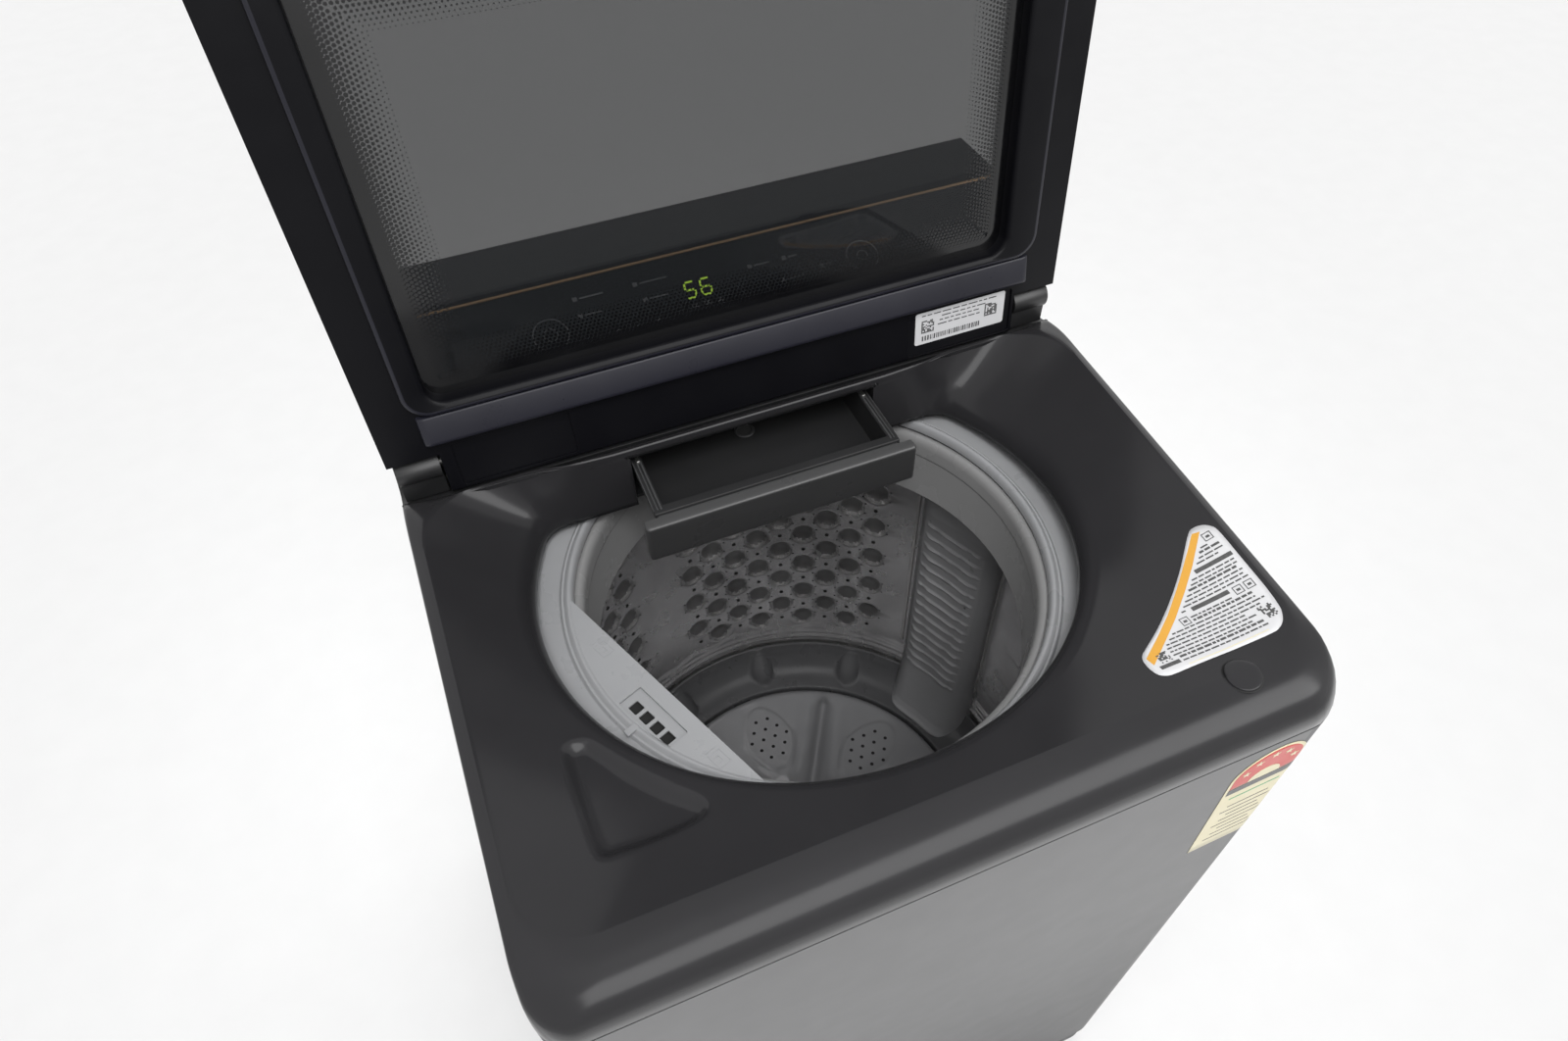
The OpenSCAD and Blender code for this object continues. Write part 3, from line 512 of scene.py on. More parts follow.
# ------------------------------------------------------------- deck surface
def mouth_distance(x, y):
    """Signed distance to the laundry opening, which reaches further in at the front."""
    r = np.hypot(x + MOUTH_SHIFT, y)
    front = np.clip(-y / np.maximum(r, 1), 0, 1) ** 3
    return smooth_max(r - MOUTH_R - 3 + 14 * front, y - WALL_LINE, 14)


def box_distance(x, y, half_x, low, high, radius):
    """Signed distance to a box that has round corners and is centred across."""
    qx = np.abs(x) - half_x + radius
    qy = np.abs(y - (low + high) / 2) - (high - low) / 2 + radius
    outside = np.hypot(np.maximum(qx, 0), np.maximum(qy, 0))
    return np.minimum(np.maximum(qx, qy), 0) + outside - radius


def back_line(x):
    """Back edge of the bowl: nearer in the middle, further back at the corners."""
    return 119.5 + 8.5 * smooth_step(150, 205, np.abs(x))


def crease_distance(x, y):
    """Signed distance to the crease between the bowl and the raised edge."""
    radius = np.where(y > (CREASE_FRONT + CREASE_TOP) / 2, 62, 45)
    box = box_distance(x, y, CREASE_HALF, CREASE_FRONT, CREASE_TOP, radius)
    return smooth_max(box, y - back_line(x), 4)


def outline_gap(x, y):
    """Signed distance to the deck's outer edge."""
    radius = np.where(y < 0, CORNER_R, 0.01)
    return box_distance(x, y, HALF_W, FRONT_Y - AXIS_Y, DECK_BACK - AXIS_Y, radius)


def reach(distance, angle, low=60, high=460):
    """Distance from the axis to where a ray leaves a shape."""
    cos, sin = np.cos(angle), np.sin(angle)
    near, far = np.full(np.shape(angle), float(low)), np.full(np.shape(angle), float(high))
    for _ in range(40):
        mid = (near + far) / 2
        out = distance(mid * cos, mid * sin) > 0
        far, near = np.where(out, mid, far), np.where(out, near, mid)
    return (near + far) / 2


def crease_height(x, y):
    """Height along the crease: it slopes down to the front and dips at the back."""
    sides = -np.maximum(0, SLOPE_START - y) * DECK_SLOPE
    back = -BRIDGE_DROP + BRIDGE_DROP * smooth_step(228, 291, np.abs(x))
    near_back = smooth_step(70, 121, y)
    return sides * (1 - near_back) + back * near_back


def mouth_height(y):
    """Height of the opening's lip, which falls from the front to the back wall."""
    back = np.clip((y + MOUTH_R) / 317, 0, 1)
    return MOUTH_FRONT_Z + (MOUTH_BACK_Z - MOUTH_FRONT_Z) * back


POCKET = spline([(-235, -116), (-229, -107.5), (-218, -105.5), (-209, -111), (-192, -135),
                 (-172, -160), (-154, -180), (-153, -191), (-162, -198), (-187, -201),
                 (-212, -201), (-226, -200), (-233, -190), (-235, -150)], 5)
POCKET_DEPTH, POCKET_WALL = 6.5, 11.0


def pocket_drop(x, y):
    """Depth of the three-sided recess at the left."""
    return POCKET_DEPTH * smooth_step(0, POCKET_WALL, -outline_distance(x, y, POCKET))


def deck_height(x, y):
    """Height of the deck's bowl between the mouth and the crease."""
    x, y = np.asarray(x, float), np.asarray(y, float)
    angle, r = np.arctan2(y, x), np.hypot(x, y)
    inner, outer = reach(mouth_distance, angle), reach(crease_distance, angle)
    t = np.clip((r - inner) / (outer - inner), 0, 1)
    low = mouth_height(inner * np.sin(angle))
    high = crease_height(outer * np.cos(angle), outer * np.sin(angle))
    return np.where(r > outer, crease_height(x, y), low + (high - low) * t)


def deck_angles():
    """Azimuths of the deck's columns, behind and in front, finer across the recess."""
    rear = math.atan2(DECK_BACK - AXIS_Y, HALF_W)
    slot = math.atan2(WALL_LINE, SLOT_HALF)
    back = np.unique(np.concatenate([
        np.linspace(rear, slot, 26), np.linspace(slot, math.pi - slot, 60),
        np.linspace(math.pi - slot, math.pi - rear, 26)]).round(9))
    fine_low, fine_high = math.radians(202), math.radians(234)
    front = np.unique(np.concatenate([
        np.linspace(math.pi - rear, fine_low, 40), np.linspace(fine_low, fine_high, 84),
        np.linspace(fine_high, 2 * math.pi + rear, 170)]).round(9))
    return back, front


def deck_rows(angle, is_back):
    """Rows of points from the mouth's lip out to the deck's foot, for one run of angles."""
    cos, sin = np.cos(angle), np.sin(angle)
    inner = reach(mouth_distance, angle)
    outer = reach(crease_distance, angle)
    edge = reach(outline_gap, angle, 100, 520)
    outer = np.minimum(outer, edge - 0.6)
    px, py = inner * cos, inner * sin
    cx, cy = outer * cos, outer * sin
    ex, ey = edge * cos, edge * sin
    straight = smooth_step(math.radians(36), math.radians(44),
                           math.pi / 2 - np.abs(angle - math.pi / 2)) if is_back else 0 * angle
    cx = cx + (px - cx) * straight
    cy = cy + (back_line(px) - 2 - cy) * straight
    ex = ex + (px - ex) * straight
    pz, cz = mouth_height(py), crease_height(cx, cy)
    span = np.hypot(cx - px, cy - py)
    roll = np.minimum(12, 0.5 * span) / span
    rows = []
    for turn in np.radians([0, 12, 25, 40, 55, 70, 90]):
        t = roll * (1 - math.cos(turn))
        x, y = px + (cx - px) * t, py + (cy - py) * t
        rows.append((x, y, pz + (cz - pz) * t - 10 * (1 - math.sin(turn))))
    rows.insert(0, (px, py, pz - 15))
    slot_t = (SLOT_TOP - MOUTH_BACK_Z) / (-BRIDGE_DROP - MOUTH_BACK_Z)
    shares = np.unique(np.concatenate([np.linspace(0, 1, 53)[1:], [0.985]]).round(6))
    near = int(np.argmin(np.abs(shares - slot_t)))
    for k, share in enumerate(shares):
        t = roll + (1 - roll) * share
        if k == near:
            t = t + (slot_t - t) * straight
        x, y = px + (cx - px) * t, py + (cy - py) * t
        rows.append((x, y, pz + (cz - pz) * t - pocket_drop(x, y)))
    slot_row = len(rows) - len(shares) + near
    front = smooth_step(FRONT_Y - AXIS_Y + 52, FRONT_Y - AXIS_Y, ey)
    drop = np.full_like(cz, BACK_FALL) if is_back else cz - (SEAM_Z - DECK_Z) - SEAM_GAP
    steps = 16
    side_share = np.interp(np.arange(1, steps + 1), [1, 3, 7, 9, 11, 12, 13, 16],
                           [0.14, 0.4, 0.86, 0.93, 0.98, 1, 1, 1])
    side_fall = np.interp(np.arange(1, steps + 1), [1, 3, 7, 9, 11, 12, 13],
                          [-1.1, -0.2, 2.2, 2.9, 4.2, 5.4, 7.5])
    for k in range(steps):
        turn = math.pi / 2 * (k + 1) / steps
        roll_share = math.sin(turn) ** 0.9
        roll_fall = drop * (1 - math.cos(turn) ** 0.9)
        fall = side_fall[k] + (drop - side_fall[k]) * max(0, (k + 1 - 13) / (steps - 13))
        fall = np.minimum(fall, drop)
        share = side_share[k] + (roll_share - side_share[k]) * front
        x, y = cx + (ex - cx) * share, cy + (ey - cy) * share
        rows.append((x, y, cz - (fall + (roll_fall - fall) * front)))
    # one more row just above the foot keeps the deck's sides flat in shading
    rows.insert(-1, tuple(a + (b - a) * 0.96 for a, b in zip(rows[-2], rows[-1])))
    return [np.stack([x, AXIS_Y + y, DECK_Z + z], 1) for x, y, z in rows], slot_row


def build_deck():
    """Deck's skin: two runs of columns joined, with the drawer's slot left open."""
    back, front = deck_angles()
    back_rows, slot_row = deck_rows(back, True)
    front_rows, _ = deck_rows(front, False)
    rows = [np.concatenate([a, b]) for a, b in zip(back_rows, front_rows)]
    cols = len(rows[0])
    points = np.concatenate(rows)
    faces = []
    for face in grid_faces(len(rows), cols, close_cols=True):
        centre = points[list(face)].mean(0)
        in_slot = abs(centre[0]) < SLOT_HALF and centre[1] > AXIS_Y + 90
        if in_slot and face[0] // cols < slot_row:
            continue
        faces.append(face[::-1])
    mesh_piece("deck", points, faces, "cabinet", "deck", ["top_cover"],
               crease=50, weld=0.02, thick=SKIN)


build_deck()


def build_seam_shadow():
    """Dark inner strip behind the gap between the deck and the cabinet."""
    edge, front, r = HALF_W - 1.4, FRONT_Y + 1.4, CORNER_R - 1.4
    path = [(-edge, DECK_BACK - 2)]
    for side, start in ((-1, 180), (1, 270)):
        path += [(side * (edge - r) + r * math.cos(math.radians(start + 9 * k)),
                  front + r + r * math.sin(math.radians(start + 9 * k))) for k in range(11)]
    path.append((edge, DECK_BACK - 2))
    points = [(x, y, z) for z in (SEAM_Z - 2, SEAM_Z + SEAM_GAP + 3) for x, y in path]
    mesh_piece("seam_shadow", points, grid_faces(2, len(path)), "cabinet",
               "dark", crease=50, thick=0.6)


build_seam_shadow()


def deck_patch(name, outline, lift, mat, rings=10):
    """A thin sticker that follows the deck inside an outline."""
    edge = np.array(outline)
    centre = edge.mean(0)
    loops = [centre + (edge - centre) * (k / rings) for k in range(1, rings + 1)]
    flat = np.concatenate([centre[None]] + loops)
    z = DECK_Z + deck_height(flat[:, 0], flat[:, 1]) + lift
    points = np.stack([flat[:, 0], AXIS_Y + flat[:, 1], z], 1)
    count = len(edge)
    faces = [(0, 1 + i, 1 + (i + 1) % count) for i in range(count)]
    faces += [tuple(1 + v for v in face) for face in grid_faces(rings, count, close_cols=True)]
    return mesh_piece(name, points, faces, "cabinet", mat, thick=0.15, weld=0.001)


# care label at the right of the deck: white sheet, orange edge and generic bars
CARE = spline([(263.9, -128.3), (268.9, -125.9), (275.5, -127.3), (280.4, -131.9), (282.4, -139),
               (282.4, -165), (282.2, -195), (280.6, -211), (278, -217.6), (274, -222.8),
               (268.5, -226), (262, -227), (240, -226.8), (205, -226.4), (181, -226.6),
               (174.5, -226), (169.6, -222.8), (167.6, -216.4), (168.2, -208), (171.2, -202.8),
               (176.5, -199.2), (195.4, -187.7), (213.3, -175), (229.3, -162.1),
               (242.6, -150.1), (253.6, -138.8)], 3)
BAND_LEFT = [(265.8, -129.8), (256.8, -138.8), (246.7, -148.4), (230.4, -163.4),
             (210.2, -180.2), (191.3, -193.6), (171.4, -206.8)]
BAND_RIGHT = [(271.4, -131.2), (261.2, -142.0), (250.4, -153.2), (233.6, -168.4),
              (213.2, -185.2), (194.0, -199.0), (172.4, -214.2)]


def deck_print(name, quads, lift, mat):
    """Flat printed shapes that follow the deck."""
    points, faces = [], []
    for (ax, ay), (bx, by), (cx, cy), (dx, dy) in quads:
        steps = max(1, int(math.hypot(bx - ax, by - ay) / 7))
        start = len(points)
        for k in range(steps + 1):
            t = k / steps
            for x, y in ((ax + (bx - ax) * t, ay + (by - ay) * t),
                         (dx + (cx - dx) * t, dy + (cy - dy) * t)):
                points.append((x, AXIS_Y + y, DECK_Z + float(deck_height(x, y)) + lift))
        for k in range(steps):
            base = start + 2 * k
            faces.append((base, base + 2, base + 3, base + 1))
    return mesh_piece(name, points, faces, "cabinet", mat,
                      smooth=False, thick=0.08)


def box_quad(x0, x1, y0, y1):
    return ((x0, y0), (x1, y0), (x1, y1), (x0, y1))


def care_rows():
    """Dark headings, rows of plain bars, small frames and two square patterns."""
    heads = [(249, 279.5, -160.2, -156.6), (228, 259, -185.8, -182.2), (174.5, 191, -220, -216.8)]
    blocks = [(266, 277, -216, -205), (178.5, 187.5, -215.4, -206.6), (262, 269, -189.5, -182.5),
              (271, 278, -189.5, -182.5), (214, 221, -194, -187), (270, 277, -141, -134)]
    quads = [box_quad(*box) for box in heads]
    for x0, x1, y0, y1 in blocks[:2]:
        step = (x1 - x0) / 8
        for i in range(8):
            for j in range(8):
                if random.random() < 0.55:
                    quads.append(box_quad(x0 + i * step, x0 + (i + 1) * step,
                                          y0 + j * step, y0 + (j + 1) * step))
    for x0, x1, y0, y1 in blocks[2:]:
        for box in ((x0, x1, y0, y0 + 0.7), (x0, x1, y1 - 0.7, y1), (x0, x0 + 0.7, y0, y1),
                    (x1 - 0.7, x1, y0, y1), (x0 + 2, x1 - 2, y0 + 2.4, y0 + 4.4)):
            quads.append(box_quad(*box))
    for row in range(27):
        y = -134 - 3.3 * row
        free = []
        for x in np.arange(170, 281, 1.0):
            taken = any(x0 - 1.6 < x < x1 + 1.6 and y0 - 2.2 < y < y1 + 1.4
                        for x0, x1, y0, y1 in heads + blocks)
            near_band = x < 4.0 + float(np.interp(-y, [-q[1] for q in BAND_RIGHT],
                                                  [q[0] for q in BAND_RIGHT]))
            if not taken and not near_band and outline_distance(x, y, CARE) < -4:
                free.append(x)
        start = 0
        for k in range(1, len(free) + 1):
            if k == len(free) or free[k] - free[k - 1] > 1.5:
                x, end = free[start], free[k - 1] - random.choice((0, 0, 6))
                while x < end - 1.5:
                    word = min(random.uniform(2, 7), end - x)
                    quads.append(box_quad(x, x + word, y, y + (1.9 if row % 7 == 4 else 1.25)))
                    x += word + 1.0
                start = k
    return quads


deck_patch("care_label", CARE, 0.35, "paper")
band_quads = [(a, b, d, c) for a, b, c, d in zip(BAND_LEFT, BAND_LEFT[1:],
                                                 BAND_RIGHT, BAND_RIGHT[1:])]
deck_print("care_band", band_quads, 0.5, "orange")
deck_print("care_line", [box_quad(194, 262, -224, -223.3)], 0.5, "cream")
deck_print("care_rows", care_rows(), 0.55, "ink")

# round cap near the front corner, in a dark ring of painted shade for its gap
CAP_X, CAP_Y = [(low + high) / 2 for low, high in zip(*limits("lid_sensor_cap"))][:2]
CAP_Y -= AXIS_Y


def cap_disc(name, radius, heights, mat, nodes=()):
    """A low round button on the deck, from (share of the radius, height) rings."""
    points, count = [], 64
    for share, height in heights:
        for u, v in circle(radius * share, count):
            x, y = CAP_X + u, CAP_Y + v
            points.append((x, AXIS_Y + y, DECK_Z + float(deck_height(x, y)) + height))
    faces = grid_faces(len(heights), count, close_cols=True)
    faces.append(tuple(range((len(heights) - 1) * count, len(heights) * count)))
    return mesh_piece(name, points, faces, "cabinet", mat, nodes, crease=45)


# dark ring round the cap: painted shade of its gap
cap_disc("cap_gap_shade", 14.2, [(1, 0.02), (0.97, 0.12), (0.8, 0.12), (0.1, 0.12)], "dark")
cap_disc("deck_cap", 13, [(1, -0.5), (1, 1.0), (0.985, 1.5), (0.94, 1.8), (0.7, 1.95),
                          (0.1, 2.0)], "deck", ["lid_sensor_cap"])


# ---------------------------------------------------------- drawer's tunnel
def build_tunnel():
    """Drawer's box behind the slot: floor, sides and roof, open at the front."""
    x, y0, y1 = SLOT_HALF, HOUSE_LOW[1] + 1.5, HOUSE_HIGH[1]
    floor, roof, wall = HOUSE_LOW[2], DECK_Z + SLOT_TOP, 3
    sides = [(-x - wall, -x, y0, y1, floor, roof + wall), (x, x + wall, y0, y1, floor, roof + wall),
             (-x, x, y0, y1, floor, floor + wall), (-x, x, y0 + 3, y1, roof, roof + wall),
             (-x, x, y1 - wall, y1, floor + wall, roof)]
    bars("drawer_tunnel", sides, as_is, "cabinet",
         "black", ["drawer_housing"], bevel=0.6)


build_tunnel()

# ------------------------------------------------------- tub cover and ring
ridge = COVER_HIGH[2]
seat = COVER_LOW[2]
lathe("tub_cover_ring", [
    (TUB_R, seat), (TUB_R, seat + 5), (TUB_R - 6, seat + 7), (250, seat + 6.6), (232, seat + 5.4),
    (216, seat + 3.4), (208, seat + 3.0), (206.6, seat + 5.2), (205.6, seat + 5.8),
    (204.8, seat + 5.0), (204.2, seat + 5.4), (202.6, ridge + 0.4), (200.6, ridge + 1.4),
    (198.6, ridge + 0.7), (197.0, ridge - 1.6), (196.5, seat + 1), (196.5, seat - 1),
    (206, seat - 1), (246, seat + 1)], "tub", "cover", ["tub_cover"], 256)

ring_top, ring_low = RING_HIGH[2], RING_LOW[2]
RING_R = 186.5
lathe("basket_ring", [
    (RING_R, ring_low), (RING_R + 0.5, ring_low + 2), (RING_R + 2.6, ring_low + 46),
    (RING_R + 2.9, ring_low + 48), (RING_R + 2.0, ring_low + 49.4), (RING_R + 2.2, ring_low + 51),
    (RING_R + 2.6, ring_top - 9), (RING_R + 3.4, ring_top - 4.6), (RING_R + 5.2, ring_top - 1.6),
    (RING_R + 8, ring_top - 0.2), (RING_R + 11.5, ring_top - 1), (RING_R + 13, ring_top - 3.4),
    (214, ring_top - 5), (236, ring_top - 5), (248, ring_top - 9), (249, ring_top - 14),
    (249, ring_low + 3), (246, ring_low), (206, ring_low + 4), (RING_R + 3, ring_low)],
      "basket", "ring", ["balance_ring"], 256)


# ------------------------------------------------------------- spray plate
JET_ANGLE = math.radians(202.4)
JET_CHORD = 163
JET_R = 202.4
RECESS = (-9, 46, 175.5, 196)


def on_jet(a, b, w):
    """a along the plate's straight edge, b outwards, w up from the tub cover's seat."""
    x = b * math.cos(JET_ANGLE) - a * math.sin(JET_ANGLE)
    y = b * math.sin(JET_ANGLE) + a * math.cos(JET_ANGLE)
    return (x, AXIS_Y + y, COVER_LOW[2] + w)


def segment_outline(radius, chord, steps=40):
    """Outline of the part of a disc beyond a chord."""
    half = math.acos(chord / radius)
    return [(radius * math.sin(t), radius * math.cos(t)) for t in np.linspace(-half, half, steps)]


def build_jet_plate():
    """Chord plate with a sunken field that holds four spray slots, and a small tab."""
    edge = segment_outline(JET_R, JET_CHORD)
    plate("jet_plate", [edge, rounded_box(*RECESS, 1.2, 3)[::-1]], 2.0, 7.4,
          on_jet, "tub", "cover", ["jet_cover"], bevel=0.9)
    slots = [rounded_box(-2.6 + 12 * k, 6.4 + 12 * k, 184, 193, 0.8, 2)[::-1] for k in range(4)]
    field = rounded_box(*grown(RECESS, 1), 1.5, 3)
    plate("jet_field", [field] + slots, 3.2, 5.0, on_jet, "tub",
          "cover", bevel=0.25)
    # dark strip under the spray slots: painted shade inside them
    bars("jet_slot_shade", [(-4, 44, 182, 195, 2.2, 2.8)], on_jet, "tub",
         "dark")
    marks = []
    for centre in (-56, 78):
        for u0, u1, v0, v1 in ((-7, 7, 8, 9), (-7, 7, -2, -1), (-7, -6, -1, 8), (6, 7, -1, 8),
                               (-3, 3, 2, 3), (-3, -2, 3, 6), (2, 3, 3, 6), (-11, -9, -1, 9)):
            marks.append((centre + u0, centre + u1, 170 + v0, 170 + v1, 7.3, 7.65))
    bars("jet_marks", marks, on_jet, "tub", "cover")
    bars("jet_tab", [(12, 18, 198, 209, 5.5, 8.6)], on_jet, "tub",
         "cover", bevel=0.8)


build_jet_plate()

# --------------------------------------------------------------- the drum
GROUPS = (74.5, 147.5, 254.5, 327.5)
GROUP_HALF = 29.5
COLUMN_STEP = 6.45
ROW_STEP = 55.0
DIMPLE_R = 15.8
DIMPLE_DEPTH = 5.6
FIRST_ROW = 633.5
LOW_DIMPLE, LOW_HOLE = 440, 436
DRUM_FLOOR, SKIRT_TOP = 372.0, 430
SKIRT_LINE = 421       # wavy upper edge of the skirt
SKIRT_BEADS = ((409, 1.2, 2.0), (399, 2.2, 2.4))   # height, depth and width of each
DRUM_TOP = RING_LOW[2] + 8
SEAMS = (10.5, 37.4, 190.5, 217.4)


def drum_dimples():
    """(azimuth in degrees, z) of every dimple."""
    spots = []
    for centre in GROUPS:
        for k in range(-4, 5):
            shift = ROW_STEP / 2 if k % 2 else 0
            for j in range(-3, 4):
                z = FIRST_ROW - shift + j * ROW_STEP
                if LOW_DIMPLE < z < DRUM_TOP - 14:
                    spots.append((centre + k * COLUMN_STEP, z))
    return spots


DIMPLES = drum_dimples()


def build_drum():
    """Stainless sheet with round dimples, over a skirt with two beads."""
    angles = []
    for k, centre in enumerate(GROUPS):
        angles += list(np.arange(centre - GROUP_HALF, centre + GROUP_HALF, 0.5))
        start = centre + GROUP_HALF
        end = GROUPS[k + 1] - GROUP_HALF if k < 3 else GROUPS[0] - GROUP_HALF + 360
        angles += list(np.linspace(start, end, 9)[:-1])
    angles = np.radians(np.array(angles))
    heights = np.concatenate([np.linspace(DRUM_FLOOR, SKIRT_TOP, 34),
                              np.linspace(SKIRT_TOP, DRUM_TOP, 140)[1:]])
    az, z = np.meshgrid(angles, heights)
    r = np.full_like(az, DRUM_R - 1.0)
    painted_shade_centres = np.zeros(az.shape, bool)
    for spot_az, spot_z in DIMPLES:
        d = np.hypot(turn_from(az, spot_az) * DRUM_R, (z - spot_z) * 0.96)
        near = d < DIMPLE_R * 1.4
        cup = DIMPLE_DEPTH * np.clip(1 - (d / DIMPLE_R) ** 2, 0, 1)
        lip = -0.6 * np.exp(-((d - DIMPLE_R * 1.07) / 1.7) ** 2)
        r[near] += (cup + lip)[near]
        painted_shade_centres[near] |= (d < DIMPLE_R * 0.84)[near]
    line = SKIRT_LINE + 3.0 * np.cos(az * 360 / (2 * COLUMN_STEP))
    r -= 1.6 * (1 - smooth_step(line - 2.2, line, z))
    for bead_z, depth, width in SKIRT_BEADS:
        r -= depth * np.exp(-((z - bead_z) / width) ** 2)
    points = turned_grid(r, az, z)
    faces = [f[::-1] for f in grid_faces(len(heights), len(angles), close_cols=True)]
    flags = painted_shade_centres.reshape(-1)
    # faces inside a dimple's centre get the darker steel, a painted shade
    kinds = [int(all(flags[v] for v in face)) for face in faces]
    mesh_piece("drum_sheet", points, faces, "basket",
               "steel dimple", ["drum"], face_mats=kinds, crease=60, thick=0.8)


def build_drum_holes():
    """Round holes in the sheet, between and beside the dimples: dark discs of painted shade."""
    side = 0.56 * COLUMN_STEP
    spots = [(az + shift, z + up, size) for az, z in DIMPLES for shift, up, size in
             ((0, -ROW_STEP / 2, 2.4), (-side, 9, 1.1), (-side, -7, 1.1), (side, 9, 1.1),
              (side, -7, 1.1))]
    loops = [[turned(DRUM_R - 1.35, math.radians(az) + u / DRUM_R, z + v)
              for u, v in circle(size)] for az, z, size in spots if z >= LOW_HOLE]
    loops_piece("drum_hole_shade", loops, "basket", "dark", 0.2)


def build_seams():
    """Upright seam strips beside the two filters."""
    points, faces = [], []
    wall, proud = DRUM_R - 1.2, DRUM_R - 3.4
    for middle in SEAMS:
        start = len(points)
        for z in (LOW_HOLE, RING_LOW[2] + 2):
            for r, across in ((wall, -2.6), (proud, -1.82), (proud, 1.82), (wall, 2.6)):
                points.append(turned(r, math.radians(middle) + across / DRUM_R, z))
        faces += [tuple(start + v for v in face) for face in
                  ((0, 1, 5, 4), (1, 2, 6, 5), (2, 3, 7, 6), (3, 0, 4, 7), (0, 3, 2, 1),
                   (4, 5, 6, 7))]
    mesh_piece("drum_seams", points, faces, "basket", "seam", smooth=False,
               bevel=0.5)


build_drum()
build_drum_holes()
build_seams()

# ------------------------------------------------------------- basket base
BUMPS = [22.7 + 30 * k for k in range(12)]
BASE_TOP = 386.0


def build_base():
    """Moulded floor of the basket: rim, sloped wall with round bumps, and a flat shelf."""
    profile = [(DRUM_R - 4, BASE_TOP - 3), (DRUM_R - 5.5, BASE_TOP), (DRUM_R - 8, BASE_TOP),
               (DRUM_R - 9.5, BASE_TOP - 2.5), (240, BASE_TOP - 5), (238.5, 379), (236, 373),
               (232, 367.5), (228, 363), (224, 359.5), (220, 356.8), (216, 354.6), (212, 353),
               (208, 351.8), (204, 350.8), (200, 350.1), (197.6, 349.6), (196.6, 348.6),
               (196.2, 346), (196.0, PULSATOR_LOW - 6)]
    fine = []
    for (r0, z0), (r1, z1) in zip(profile, profile[1:]):
        steps = max(1, int(math.hypot(r1 - r0, z1 - z0) / 2.2))
        fine += [(r0 + (r1 - r0) * k / steps, z0 + (z1 - z0) * k / steps) for k in range(steps)]
    fine = np.array(fine + profile[-1:])
    angles = np.linspace(0, 2 * math.pi, 480, endpoint=False)
    az, r = np.meshgrid(angles, fine[:, 0])
    z = np.repeat(fine[:, 1:], len(angles), 1)
    for bump in BUMPS:
        side = turn_from(az, bump) * 222 / 15.0
        ahead = (r - 224) / 17.0
        dome = np.clip(1 - side ** 2 - ahead ** 2, 0, 1)
        push = np.where(z > 345, dome ** 0.6, 0)
        z = z + 9.5 * push
        r = r - 3.0 * push
    faces = grid_faces(len(fine), len(angles), close_cols=True)
    mesh_piece("basket_floor", turned_grid(r, az, z), faces, "basket",
               "basket", ["drum_base"], crease=50, thick=2.0)


build_base()


# --------------------------------------------------------------- pulsator
RIB_TURN = 59.5
PULSATOR_EDGE, HUB_HOLE = 193.2, 21.5
PAD_R = 128            # middle of each pad between the ribs


def pulsator_height(r, az):
    """Height of the pulsator's face, az in degrees."""
    base = np.interp(r, [0, 30, 48, 70, 100, 140, 176, 186, 190, 193],
                     [371, 371, 364, 357.5, 352.5, 349.5, 348.6, 348.4, 347.6, 345.2])
    turn = (az - RIB_TURN + 30) % 60 - 30
    side = r * np.radians(turn)
    reach_in = smooth_step(24, 52, r) * (1 - smooth_step(166, 187, r))
    tall = np.interp(r, [30, 90, 180], [4.0, 12.5, 8.0])
    rib = tall * np.exp(-(side / 7.5) ** 2) * reach_in
    valley = -3.4 * np.exp(-((np.abs(side) - 21) / 9.5) ** 2) * reach_in
    middle = (az - RIB_TURN) % 60 - 30
    petal_side = r * np.radians(middle) / np.interp(r, [60, 130, 180], [17, 34, 30])
    petal_ahead = (r - PAD_R) / 52
    edge = petal_side ** 2 + petal_ahead ** 2
    petal = 1.5 * (1 - smooth_step(0.72, 1.0, edge))
    return base + rib + valley * (1 - smooth_step(0.8, 1.1, 2 - edge)) + petal


def build_pulsator():
    """Pulsator's face with its rim, and the hole for the shaft."""
    radii = np.concatenate([[HUB_HOLE, 22.5], np.linspace(24, 190, 84),
                            [191.2, 192.3, 193, PULSATOR_EDGE]])
    angles = np.linspace(0, 360, 540, endpoint=False)
    az, r = np.meshgrid(angles, radii)
    top = turned_grid(r, np.radians(az), pulsator_height(r, az))
    low_z = np.full(len(angles), PULSATOR_LOW + 1)
    rim = turned_grid(PULSATOR_EDGE, np.radians(angles), low_z)
    hub = turned_grid(HUB_HOLE, np.radians(angles), low_z + 20)
    points = np.concatenate([hub, top, rim])
    faces = grid_faces(len(radii) + 2, len(angles), close_cols=True)
    mesh_piece("pulsator_disc", points, faces, "pulsator",
               "pulsator", ["pulsator"], crease=50)


def build_pulsator_holes():
    """Drain holes in a rhombic pattern on each pad between the ribs, as dark discs of painted
    shade.
    """
    spots = [(u, v) for v, row in ((-28, (-8, 8)), (-14, (-16, 0, 16)), (0, (-24, -8, 8, 24)),
                                   (14, (-16, 0, 16)), (28, (-8, 8))) for u in row]
    loops = []
    for pad in range(6):
        middle = math.radians(RIB_TURN + 30 + 60 * pad)
        cos, sin = math.cos(middle), math.sin(middle)
        for u, v in spots:
            loop = []
            for du, dv in circle(2.3):
                x, y = cos * (PAD_R + v) - sin * u + du, sin * (PAD_R + v) + cos * u + dv
                height = float(pulsator_height(math.hypot(x, y), math.degrees(math.atan2(y, x))))
                loop.append((x, AXIS_Y + y, height + 0.12))
            loops.append(loop)
    loops_piece("pulsator_hole_shade", loops, "pulsator", "dark", 0.1)


build_pulsator()
build_pulsator_holes()


